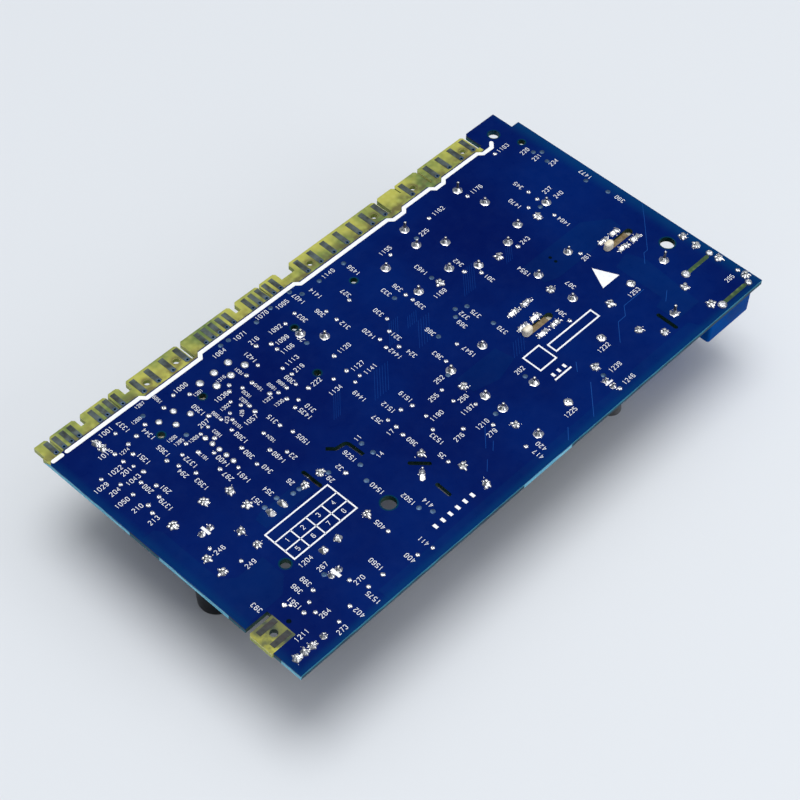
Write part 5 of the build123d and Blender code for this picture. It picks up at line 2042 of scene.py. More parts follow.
def bevelled(
    node: str, name: str, slot: str, finishes: Sequence[bpy.types.Material], width: float, segments: int = 3
) -> bpy.types.Object:
    """Copies a CAD node with its edges rounded over.

    Args:
        node: The CAD node.
        name: Name of the copy.
        slot: Its material slot in the record.
        finishes: Its materials.
        width: Width of the rounded edges, in millimetres.
        segments: Facets across a rounded edge.

    Returns:
        The new piece, which stands for the node.
    """
    work = opened(node)
    bmesh.ops.dissolve_limit(work, angle_limit=radians(2), verts=work.verts, edges=work.edges)
    sharp = [e for e in work.edges if len(e.link_faces) == 2 and e.calc_face_angle(0.0) > radians(20)]
    bmesh.ops.bevel(
        work, geom=sharp, offset=width * MM, offset_type="OFFSET", segments=segments, profile=0.5,
        affect="EDGES", clamp_overlap=True, material=-1,
    )
    bmesh.ops.remove_doubles(work, verts=work.verts, dist=1e-7)
    return settle(closed_up(work, name, finishes, 32), slot, node)


def bend(start: Vector, corner: Vector, end: Vector, radius: float, steps: int = 5) -> list[Vector]:
    """Path of a wire with one rounded bend, the radius in metres.

    Args:
        start: Where it starts.
        corner: Where it would turn without the bend.
        end: Where it ends.
        radius: Distance from the corner at which the bend begins, in metres.
        steps: Facets of the bend.

    Returns:
        The points of the path.
    """
    first, last = (corner + (far - corner).normalized() * radius for far in (start, end))
    shares = [step / steps for step in range(steps + 1)]
    curve = [first * (1 - t) ** 2 + corner * 2 * t * (1 - t) + last * t**2 for t in shares]
    return [start, *curve, end]


@dataclass(frozen=True)
class Relay:
    """Sealed relay: base, seam, case with a sunk top, its vent and two ribs, in millimetres.

    Attributes:
        node: CAD node that it stands for.
        corner: Radius of the upright corners.
        seam: Distance of the seam from the board.
        sunk: Depth of the sunk top.
        vent: Radius of the vent and its distance from two sides.
        rib: Width of the ribs, their distance from the middle and from the case's ends.
    """

    node: str
    corner: float = 0.9
    seam: float = 1.5
    sunk: float = 0.18
    vent: Flat = (0.75, 2.9)
    rib: Triple = (0.5, 3.2, 3.4)

    def build(self, shop: Workshop) -> None:
        """Builds the relay."""
        low, high, middle = room(self.node)
        size = (high - low) / MM
        tall = size.z
        rows = [
            (0.0, 0.7), (0.25, 0.5), (0.25, 0.12), (0.4, 0.0), (self.seam - 0.1, 0.0), (self.seam, 0.16),
            (self.seam + 0.14, 0.16), (self.seam + 0.24, 0.02), (tall - 0.75, 0.1), (tall - 0.4, 0.18),
            (tall - 0.12, 0.42), (tall, 0.85), (tall, 1.5), (tall - self.sunk, 1.72),
        ]
        shape = Shape()
        shape.shell(low, high, rows, self.corner, 5, [1] * 3 + [0] * 10, (1, 0), 0.15)
        floor = low.z + self.sunk * MM
        radius, inset = self.vent
        pip = [(floor + 0.1 * MM, 0.0), (floor - 0.1 * MM, 0.0), (low.z + 0.02 * MM, 0.22 * MM)]
        shape.button((low.x + inset * MM, low.y + inset * MM), radius * MM, pip, 20)
        width, aside, ends = self.rib
        long_way = size.x > size.y
        length = max(size.x, size.y) - 2 * ends
        levels = [(floor + 0.1 * MM, 0.0), (floor - 0.04 * MM, 0.0), (floor - 0.1 * MM, 0.08 * MM)]
        for side in (-aside * MM, aside * MM):
            centre = (middle.x, middle.y + side) if long_way else (middle.x + side, middle.y)
            area = (length * MM, width * MM) if long_way else (width * MM, length * MM)
            shape.block(centre, area, levels, 0.2 * MM, 3)
        made = shape.make(f"{self.node}_case", shop.all(relay_black, relay_resin), 28)
        settle(made, "relay_case", self.node)


@dataclass(frozen=True)
class Can:
    """Electrolytic capacitor in a shrunk sleeve, in millimetres.

    Attributes:
        node: CAD node that it stands for.
        lean: How far its far end leans, across and down.
        groove: Distance of its crimp from the seat.
        sides: Corners of its rings.
        stripe: Corners that the pale stripe spans.
    """

    node: str
    lean: Flat = (0.0, 0.0)
    groove: float = 2.0
    sides: int = 40
    stripe: tuple[int, int] = (4, 11)

    def build(self, shop: Workshop) -> None:
        """Builds the sleeve with its pale stripe, the bare top and its score lines, drawn black as painted
        shade.
        """
        low, high, middle = room(self.node)
        tall = (high.z - low.z) / MM
        radius = (high.x - low.x) / 2 / MM - 0.04
        deep = min(0.4, radius * 0.09)
        groove = self.groove
        rows = [
            (0.0, radius * 0.62), (0.0, 0.34), (0.1, 0.12), (0.35, 0.0), (groove - 0.55, 0.0),
            (groove - 0.25, deep * 0.7), (groove, deep), (groove + 0.25, deep * 0.7), (groove + 0.6, 0.0),
            (tall * 0.5, 0.0), (tall - 0.55, 0.0), (tall - 0.2, 0.1), (tall - 0.04, 0.32),
            (tall, 0.62), (tall - 0.02, 0.95), (tall - 0.14, 1.05),
        ]
        lean = Vector((self.lean[0], -self.lean[1], 0)) * MM
        top = Vector((middle.x, middle.y, high.z))
        shape = Shape()
        rings = [
            hoop(
                top + lean * (down / tall) - UP * (down * MM), ACROSS, BACK, (radius - inset) * MM,
                self.sides
            )
            for down, inset in rows
        ]
        shape.loft(rings, [SLEEVE] * 14 + [TOP], caps=(SEAL, TOP))
        for band in range(3, 11):
            for k in range(*self.stripe):
                shape.kinds[band * self.sides + k] = STRIPE
        # Score lines: thin black ridges on the metal top, painted shade for the grooves.
        face = low.z + 0.14 * MM
        start = (middle.x + lean.x, middle.y + lean.y)
        for tip in circle((radius - 1.9) * MM, 3, start, 0.3):
            ribbon(shape, [start, tip], 0.22 * MM, face - 0.05 * MM, face + 0.06 * MM, kind=SEAL)
        finishes = shop.all(sleeve_black, sleeve_stripe, can_metal, rubber_seal)
        settle(shape.make(f"{self.node}_can", finishes, 35), "can_sleeve", self.node)


@dataclass(frozen=True)
class BoxCapacitor:
    """Film capacitor in a moulded box that is closed with resin, in millimetres.

    Attributes:
        node: CAD node that it stands for.
        corner: Radius of its upright corners.
        wall: Thickness of its wall.
        foot: Width and depth of a foot, and how far its middle is from the two sides.
    """

    node: str
    corner: float = 0.9
    wall: float = 0.8
    foot: tuple[float, float, float, float] = (1.1, 0.9, 1.0, 0.85)

    def build(self, shop: Workshop) -> None:
        """Builds the box, its resin face towards the board and its feet."""
        low, high, middle = room(self.node)
        half, tall = (high - low) / 2, (high.z - low.z) / MM
        rows = [
            (0.9, self.wall + 0.25), (0.7, self.wall), (0.45, self.wall - 0.05), (0.3, 0.35), (0.36, 0.08),
            (0.6, 0.0), (tall * 0.45, 0.05), (tall - 0.7, 0.14), (tall - 0.3, 0.24), (tall - 0.08, 0.48),
            (tall, 0.9), (tall, 1.35), (tall - 0.1, 1.5),
        ]
        shape = Shape()
        shape.shell(low, high, rows, self.corner, 5, [1, 1] + [0] * 10, (1, 0), 0.12)
        wide, deep, from_x, from_y = (part * MM for part in self.foot)
        levels = [(high.z, 0.12 * MM), (high.z - 0.1 * MM, 0.0), (high.z - 0.7 * MM, 0.0)]
        for sx, sy in ((-1, -1), (-1, 1), (1, -1), (1, 1)):
            centre = (middle.x + sx * (half.x - from_x), middle.y + sy * (half.y - from_y))
            shape.block(centre, (wide, deep), levels, 0.25 * MM, 3)
        settle(shape.make(f"{self.node}_box", shop.all(film_blue, potting), 28), "film_case", self.node)


@dataclass(frozen=True)
class Disc:
    """Dipped disc on two round leads, in millimetres.

    Attributes:
        node: CAD node that it stands for.
        pitch: Distance of its leads.
        turn: Direction of its leads, in degrees.
        across: Its diameter.
        thick: Its thickness.
        lead: Radius of its leads.
    """

    node: str
    pitch: float
    turn: float
    across: float
    thick: float
    lead: float = 0.3

    def build(self, shop: Workshop) -> None:
        """Builds the lens, the coating that runs down its leads, and the leads."""
        low, _, middle = room(self.node)
        a = radians(self.turn)
        along, aside = Vector((cos(a), sin(a), 0)), Vector((-sin(a), cos(a), 0))
        radius = self.across / 2
        centre = Vector((middle.x, middle.y, low.z + radius * MM))
        seed = Vector((middle.x * 300, middle.y * 300, 4))
        shape = Shape()
        rings: list[Ring] = []
        profile = ((-0.5, 0.3), (-0.485, 0.55), (-0.42, 0.76), (-0.3, 0.9), (-0.14, 0.98), (0.0, 1.0))
        profile += tuple((-t, r) for t, r in reversed(profile[:-1]))
        for thick, reach in profile:
            ring = []
            for c, s in circle(1.0, 36):
                rough = 1 + 0.012 * noise.noise(seed + Vector((c * 2, s * 2, thick)))
                away = radius * min(1.0, reach * rough)
                ring.append(
                    centre + (along * (c * away) + UP * (s * away) + aside * (thick * self.thick)) * MM
                )
            rings.append(ring)
        shape.loft(rings, 0)
        inward = min(self.pitch / 2, radius * 0.72)
        rise = sqrt(max(0.1, radius**2 - inward**2))
        for side in (-1, 1):
            foot = Vector((middle.x, middle.y, plan.under)) + along * (side * self.pitch / 2 * MM)
            shoulder = centre + along * (side * inward * MM) + UP * (rise * MM)
            drip = shoulder - UP * 0.9 * MM
            top = Vector((foot.x, foot.y, min(shoulder.z + 1.1 * MM, plan.under - 0.5 * MM)))
            widths = ((0.0, 1.25), (0.35, 1.05), (0.6, 0.74), (0.82, 0.52), (1.0, 0.4))
            shape.loft([hoop(drip.lerp(top, share), along, aside, wide * MM, 14) for share, wide in widths])
            shape.tube([drip, top, foot + UP * (0.3 * MM)], self.lead * MM, 10, 1)
        settle(
            shape.make(f"{self.node}_disc", shop.all(disc_blue, wire_tin), 50), "disc_coating", self.node
        )


@dataclass(frozen=True)
class Lying:
    """Round part that lies on the board between two bent leads, in millimetres.

    Attributes:
        node: CAD node that it stands for.
        pitch: Distance of its leads.
        slot: The record's material slot.
        lead: Radius of its leads.
        turns: Number of turns on a choke.
    """

    node: str
    pitch: float
    slot: str
    lead: float = 0.35
    turns: int = 12

    def _body(self, rows: Sequence[Flat], kinds: Sequence[int], half: float, lead_kind: int) -> Shape:
        """Turns a body about its long axis and adds both bent leads.

        Args:
            rows: Distance along the axis and radius of each ring.
            kinds: Finish of each band.
            half: Half of the body's length.
            lead_kind: Finish of the leads.

        Returns:
            The shape.
        """
        middle = room(self.node)[2]
        shape = Shape()
        shape.loft([hoop(middle + ACROSS * (x * MM), BACK, UP, r * MM, 28) for x, r in rows], list(kinds))
        for side in (-1, 1):
            inner = middle + ACROSS * (side * (half - 0.2) * MM)
            corner = middle + ACROSS * (side * self.pitch / 2 * MM)
            end = Vector((corner.x, corner.y, plan.under + 0.3 * MM))
            shape.tube(bend(inner, corner, end, 0.9 * MM), self.lead * MM, 10, lead_kind)
        return shape

    def choke(self, shop: Workshop) -> None:
        """Builds a rod choke: flanges, a wound and lacquered waist, ferrite ends."""
        low, high, _ = room(self.node)
        radius, half = (high.z - low.z) / 2 / MM, 6.0
        flange = [(half, 1.0), (half, radius - 0.35), (half - 0.3, radius), (half - 1.0, radius)]
        rows = [(-x, r) for x, r in flange] + [(-half + 1.25, radius - 0.3)]
        step = (2 * half - 2.5) / self.turns
        for i in range(self.turns):
            start = -half + 1.25 + i * step
            rows += [
                (start + step * share, radius - inset) for share,
                inset in ((0.3, 0.24), (0.7, 0.24), (1, 0.5))
            ]
        rows += reversed(flange)
        shape = self._body(rows, [1] * 4 + [0] * (3 * self.turns) + [1] * 4, half, 2)
        finishes = shop.all(enamel, ferrite_grey, wire_tin)
        settle(shape.make(f"{self.node}_rod", finishes, 40), self.slot, self.node)

    def resistor(self, shop: Workshop) -> None:
        """Builds a dipped resistor: full ends, a slimmer middle and plain bands."""
        low, high, _ = room(self.node)
        radius, half = (high.z - low.z) / 2 / MM, 3.3
        end = [
            (half, 0.35), (half - 0.08, 0.8), (half - 0.3, 1.3), (half - 0.7, 1.52), (half - 1.2, radius),
            (half - 1.7, 1.55), (half - 2.2, 1.42),
        ]
        waist = [(x, 1.38) for x in (-1.0, -0.6, 0.0, 0.4, 0.9)]
        rows = [(-x, r) for x, r in end] + waist + end[::-1]
        kinds = [0, 0, 0, 1, 1, 0, 0, 2, 0, 3, 0, 0, 0, 4, 0, 0, 0, 0]
        shape = self._body(rows, kinds, half, 5)
        finishes = shop.all(resistor_grey, *bands, wire_tin)
        settle(shape.make(f"{self.node}_body", finishes, 40), self.slot, self.node)


@dataclass(frozen=True)
class Buzzer:
    """Round sounder with a hole in its face, in millimetres."""

    node: str = "buzzer"
    hole: float = 1.0

    def build(self, shop: Workshop) -> None:
        """Builds the case, its seam, its raised ring and its hole."""
        low, high, middle = room(self.node)
        tall, radius = (high.z - low.z) / MM, (high.x - low.x) / 2 / MM
        rim = radius - self.hole
        rows = [
            (0.0, 1.2), (0.0, 0.5), (0.2, 0.3), (0.9, 0.3), (1.1, 0.0), (tall - 0.6, 0.0),
            (tall - 0.25, 0.1), (tall - 0.05, 0.35), (tall, 0.7), (tall, 1.2), (tall - 0.3, 1.35),
            (tall - 0.3, rim - 0.9), (tall - 0.05, rim - 0.7), (tall - 0.05, rim - 0.1),
            (tall - 0.15, rim), (tall - 1.8, rim),
        ]
        shape = Shape()
        levels = [(high.z - d * MM, i * MM) for d, i in rows]
        shape.button((middle.x, middle.y), radius * MM, levels, 44, [1] * 3 + [0] * 12, (1, 1))
        settle(
            shape.make("buzzer_case", shop.all(buzzer_black, relay_resin), 30), "bobbin_plastic",
            self.node
        )


@dataclass(frozen=True)
class Toroid:
    """Ring core with one layer of thick enamelled wire, standing on its edge, in millimetres.

    Attributes:
        turns: Number of turns.
        wire: Thickness of the wire.
        fit: Gap between wire and core.
        bore: Radius of the core's hole.
        lead_pitch: Distance of its leads.
        square: How square a turn is: 1 for a circle, less for a squarer one.
        steps: Points on the path of one turn.
    """

    turns: int = 17
    wire: float = 1.3
    fit: float = 0.1
    bore: float = 6.5
    lead_pitch: float = 21.6
    square: float = 0.42
    steps: int = 18

    def build(self, shop: Workshop) -> None:
        """Builds the core, then the wire as one run from lead to lead."""
        low, high, middle = room("toroid_core")
        outer, half = (high.x - low.x) / 2 / MM, (high.y - low.y) / 2 / MM
        core = Shape()
        section = rounded(outer - self.bore, 2 * half, 1.1, ((outer + self.bore) / 2, 0.0), 5)
        rings = [[middle + Vector((c * r, y, s * r)) * MM for r, y in section] for c, s in circle(1.0, 72)]
        core.loft(rings, 0, closed=True)
        settle(core.make("toroid_ring", shop.all(core_green), 40), "core_coating", "toroid_core")

        path = self._path(middle, outer, half)
        for at_end in (False, True):
            end = path[-1] if at_end else path[0]
            side = 1 if end.x > middle.x else -1
            foot = Vector((middle.x + side * self.lead_pitch / 2 * MM, middle.y, plan.under + 0.2 * MM))
            bent = end.lerp(foot, 0.22) + ACROSS * (side * 0.1 * MM)
            run = [foot, foot - UP * (foot.z - end.z) * 0.45, bent]
            path = path + run[::-1] if at_end else run + path
        coil = Shape()
        coil.tube(path, self.wire / 2 * MM, 10)
        settle(coil.make("toroid_wire", shop.all(enamel), 60), "enamelled_wire", "toroid_winding")

    def _path(self, middle: Vector, outer: float, half: float) -> list[Vector]:
        """Points along every turn of the wire.

        Args:
            middle: Middle of the core, in metres.
            outer: Radius of the core.
            half: Half of its thickness.

        Returns:
            The points, from the first turn to the last.
        """
        reach = outer + self.fit + self.wire / 2
        inner = self.bore - self.fit - self.wire / 2
        mid, wide, deep = (reach + inner) / 2, (reach - inner) / 2, half + self.wire / 2 + 0.01
        lead = self.lead_pitch / 2
        lift = atan2(sqrt(reach**2 - lead**2), lead)
        first, last = 2 * pi + lift, pi - lift
        path = []
        for i in range((self.turns - 1) * self.steps):
            a = first + (last - first) * i / (self.steps * (self.turns - 1))
            phase = 2 * pi * (i % self.steps) / self.steps
            c, s = (copysign(abs(part) ** self.square, part) for part in (cos(phase), sin(phase)))
            radial = mid + wide * c
            path.append(middle + Vector((cos(a) * radial, deep * s, sin(a) * radial)) * MM)
        return path + [middle + Vector((cos(last) * reach, 0, sin(last) * reach)) * MM]


@dataclass(frozen=True)
class Transformer:
    """Switching transformer: bobbin, ferrite core and taped winding, in millimetres.

    Attributes:
        corner: Radius of the winding's long edges.
        rows: Place along the winding, as a share of its length, and inset of each ring.
    """

    corner: float = 2.6
    rows: tuple[Flat, ...] = (
        (-0.5, 0.5), (-0.5, 0.25), (-0.47, 0.1), (-0.4, 0.04), (-0.1, 0.0), (0.1, 0.0), (0.1, 0.06),
        (0.4, 0.08), (0.47, 0.14), (0.5, 0.28), (0.5, 0.5),
    )

    def build(self, shop: Workshop) -> None:
        """Builds its three pieces."""
        bevelled("transformer_bobbin", "bobbin_body", "bobbin_plastic", shop.all(bobbin_black), 0.35)
        bevelled("transformer_core", "ferrite_core", "ferrite", shop.all(ferrite_grey), 0.3)
        low, high, middle = room("transformer_winding")
        size = (high - low) / MM
        rings: list[Ring] = []
        for along, inset in self.rows:
            wide, tall = (size.x - 2 * inset) * MM, (size.z - 2 * inset) * MM
            section = rounded(wide, tall, self.corner * MM, (middle.x, middle.z), 6)
            rings.append([Vector((x, middle.y + along * size.y * MM, z)) for x, z in section])
        shape = Shape()
        shape.loft(rings, [1] + [0] * 8 + [1], caps=(1, 1))
        settle(
            shape.make("taped_winding", shop.all(tape_yellow, enamel), 32), "winding_tape",
            "transformer_winding"
        )


@dataclass(frozen=True)
class Tabs:
    """Housings with their pegs, and the flat blades inside them, in millimetres.

    Attributes:
        blade: Width, thickness and reach of a blade.
        bevel: Length of the chamfer at its tip.
        hole: Radius of its hole.
        hole_back: Distance of the hole from the tip.
        soft: Share of its size that a blade's faces keep, and depth of its softened edge.
    """

    blade: Triple = (6.3, 0.8, 9.0)
    bevel: float = 1.2
    hole: float = 0.8
    hole_back: float = 3.3
    soft: Flat = (0.965, 0.12)

    def _blade(self, shape: Shape, low: Vector, high: Vector) -> None:
        """Adds one blade with a chamfered tip and a round hole.

        Args:
            shape: Where it goes.
            low: Lowest corner of the CAD blade.
            high: Its highest corner.
        """
        (cx, cy), (wide, thick, reach) = centre_of(low, high), self.blade
        half, thick, tip = wide / 2, thick / 2, wide / 2 - self.bevel * 0.6
        start = reach - self.bevel
        corners = [(-half, 0.0), (half, 0.0), (half, start), (tip, reach), (-tip, reach), (-half, start)]
        outline = []
        for (ax, ay), (bx, by) in zip(corners, corners[1:] + corners[:1]):
            outline += [(ax + (bx - ax) * i / 5, ay + (by - ay) * i / 5) for i in range(5)]
        bore = []
        for x, y in outline:
            up = y - (reach - self.hole_back)
            share = self.hole / hypot(x, up)
            bore.append((x * share, y - up + up * share))
        kept, edge = self.soft
        rings = []
        for points, offset, share in (
            (outline, -thick, kept), (outline, edge - thick, 1.0), (outline, thick - edge, 1.0),
            (outline, thick, kept), (bore, thick, 1.0), (bore, -thick, 1.0),
        ):
            drawn = [(x * share, (y - reach / 2) * share + reach / 2) for x, y in points]
            rings.append([Vector((cx + x * MM, cy + offset * MM, high.z - y * MM)) for x, y in drawn])
        shape.loft(rings, 0, closed=True)

    def build(self, shop: Workshop) -> None:
        """Builds both housings and their blades."""
        for number in (1, 2):
            finishes = shop.all(nylon, peg_top_painted_light, peg_side_painted_shade)
            name = f"housing_{number}"
            housing = bevelled(f"tab_{name}", name, "housing_plastic", finishes, 0.22, 2)
            # Peg tops take painted light, peg sides in the board's slot painted shade.
            for face in housing.data.polygons:
                if face.center.z > plan.top - 0.2 * MM:
                    face.material_index = 1
                elif face.center.z > plan.under + 0.02 * MM:
                    face.material_index = 2
            shape = Shape()
            for low, high in islands(f"tabs_{number}"):
                self._blade(shape, low, high)
            settle(
                shape.make(f"blades_{number}", shop.all(plated_brass), 30), "tab_metal", f"tabs_{number}"
            )


@dataclass(frozen=True)
class Headers:
    """Pin headers towards the front panel, and their square pins, in millimetres.

    Attributes:
        pin: Width of a pin.
        collar: Radius of the collar round it.
        corners: Each header's node, with the radius of its corners.
    """

    pin: float = 0.64
    collar: float = 0.95
    corners: tuple[tuple[str, float], ...] = (("header_4", 0.8), ("header_5", 0.4), ("header_6", 0.8))

    def build(self, shop: Workshop) -> None:
        """Builds the header bodies with a collar round every pin, and the pins."""
        places = islands("header_pins")
        rows = [(0.0, 0.35), (0.25, 0.25), (0.3, 0.0), (2.3, 0.0), (2.6, 0.12), (2.7, 0.35)]
        for node, corner in self.corners:
            low, high, _ = room(node)
            shape = Shape()
            shape.shell(low, high, rows, corner, 4)
            rise = [(high.z - 2.5 * MM, 0.0), (high.z - 2.85 * MM, 0.0), (high.z - 3.0 * MM, 0.2 * MM)]
            for x, y in (centre_of(*place) for place in places):
                if low.x < x < high.x and low.y < y < high.y:
                    shape.button((x, y), self.collar * MM, rise, 8, turn=pi / 8)
            settle(shape.make(f"{node}_body", shop.all(header_cream), 30), "housing_plastic", node)
        pins = Shape()
        for low, high in places:
            end = [(0.9, 0.0), (0.25, 0.16), (0.0, 0.26)]
            levels = [(high.z + 2.0 * MM, 0.0)] + [(low.z + up * MM, inset * MM) for up, inset in end]
            pins.block(centre_of(low, high), (self.pin * MM, self.pin * MM), levels, 0.05 * MM, 1)
        settle(pins.make("header_pin_set", shop.all(wire_tin), 30), "lead_metal", "header_pins")


@dataclass(frozen=True)
class Chip:
    """Moulded chip with gull-wing leads, in millimetres.

    Attributes:
        node: CAD node of its body; its leads are the node's name with _leads.
        thick: Half of a lead's thickness.
        bend: Path of a lead: share of its reach, and depth under the board.
        dimple: Radius of the dimple and its distance from two sides.
    """

    node: str
    thick: float = 0.075
    bend: tuple[Flat, ...] = (
        (-0.12, 0.86), (0.22, 0.86), (0.36, 0.8), (0.44, 0.62), (0.54, 0.3), (0.64, 0.14), (1.0, 0.1)
    )
    dimple: Flat = (0.42, 1.0)

    def _lead(self, shape: Shape, low: Vector, high: Vector, centre: Vector) -> None:
        """Adds one gull-wing lead over its CAD solid, facing away from the body.

        Args:
            shape: Where it goes.
            low: Lowest corner of the CAD lead.
            high: Its highest corner.
            centre: Middle of the body.
        """
        wide, deep = high.x - low.x, high.y - low.y
        x, y = centre_of(low, high)
        if wide > deep:
            out, half, reach = ACROSS * copysign(1, x - centre.x), deep / 2, wide
        else:
            out, half, reach = BACK * copysign(1, y - centre.y), wide / 2, deep
        aside = Vector((-out.y, out.x, 0)) * half
        start = Vector((x, y, plan.under)) - out * reach / 2
        rings: list[Ring] = []
        for i, (along, down) in enumerate(self.bend):
            before, after = self.bend[max(0, i - 1)], self.bend[min(len(self.bend) - 1, i + 1)]
            dx, dz = after[0] - before[0], before[1] - after[1]
            tilt = (UP * dx - out * dz) * (self.thick * MM / hypot(dx, dz))
            spot = start + out * along * reach - UP * (down * MM)
            rings.append(
                [spot + aside + tilt, spot - aside + tilt, spot - aside - tilt, spot + aside - tilt]
            )
        shape.loft(rings, 0)

    def build(self, shop: Workshop) -> None:
        """Builds the body with its two mould halves and its dimple, and every lead."""
        low, high, middle = room(self.node)
        tall = (high.z - low.z) / MM
        halves = [(0.0, 0.16), (tall * 0.46, 0.03), (tall * 0.5, 0.0), (tall * 0.54, 0.03)]
        shape = Shape()
        shape.shell(low, high, halves + [(tall - 0.12, 0.16), (tall, 0.3)], 0.15, 2, least=0.15)
        radius, inset = self.dimple
        levels = [(low.z + 0.2 * MM, 0.0), (low.z - 0.004 * MM, 0.0), (low.z - 0.006 * MM, 0.06 * MM)]
        shape.button((low.x + inset * MM, low.y + inset * MM), radius * MM, levels, 16, 1)
        settle(
            shape.make(f"{self.node}_body", shop.all(epoxy_black, epoxy_gloss), 30), "chip_epoxy",
            self.node
        )
        leads = Shape()
        for place in islands(f"{self.node}_leads"):
            self._lead(leads, *place, middle)
        made = leads.make(f"{self.node}_lead_set", shop.all(wire_tin), 35)
        settle(made, "lead_metal", f"{self.node}_leads")


@dataclass(frozen=True)
class SmallParts:
    """Crystal, chip resistors and capacitors, line choke and jumper block, in millimetres.

    Attributes:
        seed: Seed of the chip parts' kinds.
        chip: Place along a chip part, inset, and whether the band from there is metal.
    """

    seed: int = 7
    chip: tuple[tuple[float, float, bool], ...] = (
        (-1.0, 0.04, True), (-0.96, 0.0, True), (-0.62, 0.0, True), (-0.6, 0.03, False), (0.6, 0.03, True),
        (0.62, 0.0, True), (0.96, 0.0, True), (1.0, 0.04, True),
    )

    def _crystal(self, shop: Workshop) -> None:
        """Builds the crystal's drawn can on its flanged base."""
        low, high, _ = room("crystal")
        tall = (high.z - low.z) / MM
        rows = [(0.0, 0.15), (0.1, 0.0), (0.45, 0.0), (0.5, 0.12), (0.52, 0.42), (tall - 0.7, 0.45)]
        rows += [(tall - 0.35, 0.52), (tall - 0.1, 0.72), (tall, 1.05)]
        shape = Shape()
        shape.shell(low, high, rows, 2.3, 9)
        settle(shape.make("crystal_body", shop.all(drawn_steel), 30), "crystal_can", "crystal")

    def _chips(self, shop: Workshop) -> None:
        """Builds the small chip parts, each with two metal ends."""
        dice = random.Random(self.seed)
        shape = Shape()
        for low, high in islands("chip_parts"):
            middle, size = (low + high) / 2, high - low
            body = 2 if dice.random() < 0.5 else 0
            rings = []
            for along, inset, _ in self.chip:
                wide, tall = size.y - 2 * inset * MM, size.z - 2 * inset * MM
                section = rounded(wide, tall, 0.06 * MM, (middle.y, middle.z), 2)
                rings.append([Vector((middle.x + along * MM, y, z)) for y, z in section])
            shape.loft(rings, [1 if metal else body for _, _, metal in self.chip[:-1]])
        finishes = shop.all(chip_black, wire_tin, chip_tan)
        settle(shape.make("chip_part_set", finishes, 35), "chip_ceramic", "chip_parts")

    def _line_choke(self, shop: Workshop) -> None:
        """Builds the line choke's cover with its seam and its two sight slots."""
        low, high, middle = room("line_choke")
        tall = (high.z - low.z) / MM
        rows = [(0.0, 0.5), (0.3, 0.35), (0.32, 0.0), (1.5, 0.0), (1.6, 0.22), (1.75, 0.22), (1.85, 0.04)]
        rows += [(tall - 0.8, 0.12), (tall - 0.35, 0.25), (tall - 0.08, 0.5), (tall, 0.9)]
        shape = Shape()
        shape.shell(low, high, rows, 1.0, 5, least=0.2)
        for side in (-3.2, 3.2):
            levels = [(low.z + 0.3 * MM, 0.0), (low.z, 0.0)]
            shape.block((middle.x + side * MM, middle.y), (4.6 * MM, 1.5 * MM), levels, 0.5 * MM, 4, 1)
        settle(
            shape.make("line_choke_cover", shop.all(choke_black, enamel), 30), "choke_case", "line_choke"
        )

    def build(self, shop: Workshop) -> None:
        """Builds all of them."""
        self._crystal(shop)
        self._chips(shop)
        self._line_choke(shop)
        bevelled("jumper_block", "jumper_body", "bobbin_plastic", shop.all(bobbin_black), 0.22)


@dataclass(frozen=True)
class UndersidePrint:
    """Plain outlines printed round the parts on the component side, in millimetres.

    Attributes:
        line: Width of the lines.
        rise: Their thickness.
        margin: Their distance from the parts.
        from_edge: Least distance of a line from the board's left and right edges.
        limits: Front and back limits of the lines, on the model's Y.
        boxed: Nodes with a rectangle round them.
        ringed: Nodes with a circle round them.
    """

    line: float = 0.22
    rise: float = 0.03
    margin: float = 0.7
    from_edge: float = 1.2
    limits: Flat = (-46.9, 39.0)
    boxed: tuple[str, ...] = (
        *(f"relay_{number}" for number in range(1, 7)),
        "mains_capacitor", "film_capacitor_1", "film_capacitor_2", "line_choke", "transformer_bobbin",
        "header_4", "header_6", "header_5", "jumper_block", "fuse_resistor", "crystal",
        "microcontroller_leads", "relay_driver_leads", "memory_chip_leads", "toroid_winding",
    )
    ringed: tuple[str, ...] = (
        "bulk_capacitor", "small_capacitor_1", "small_capacitor_2", "small_capacitor_3", "buzzer"
    )

    def build(self, shop: Workshop) -> None:
        """Builds the outlines and the pale pads under them."""
        shape = Shape()
        low_z, high_z = plan.under - self.rise * MM, plan.under + 0.02 * MM
        edge, margin = plan.left + self.from_edge * MM, self.margin * MM
        front, back = (limit * MM for limit in self.limits)
        for node in self.boxed:
            low, high, middle = room(node)
            wide, deep = high.x - low.x + 2 * margin, high.y - low.y + 2 * margin
            corners = rounded(wide, deep, 0.01 * MM, (middle.x, middle.y), 1)[::2]
            corners = [(max(edge, min(-edge, x)), max(front, min(back, y))) for x, y in corners]
            ribbon(shape, corners, self.line * MM, low_z, high_z, True)
        for node in self.ringed:
            low, high, middle = room(node)
            outline = circle((high.x - low.x) / 2 + margin, 40, (middle.x, middle.y))
            ribbon(shape, outline, self.line * MM, low_z, high_z, True)
        settle(shape.make("underside_print", shop.all(white_ink), 30), "laminate")
        pads = Shape()
        for node in ("cone_joints", "small_joints", "star_joints", "header_joints"):
            for low, high in islands(node):
                reach = min(high.x - low.x, high.y - low.y) / 2
                steps = ((-0.02 * MM, 0.0), (0.05 * MM, 0.0), (0.1 * MM, reach * 0.3))
                levels = [(plan.under - down, inset) for down, inset in steps]
                pads.button(centre_of(low, high), reach * 0.86, levels, 16)
        settle(pads.make("underside_pads", shop.all(dull_solder), 40), "solder")


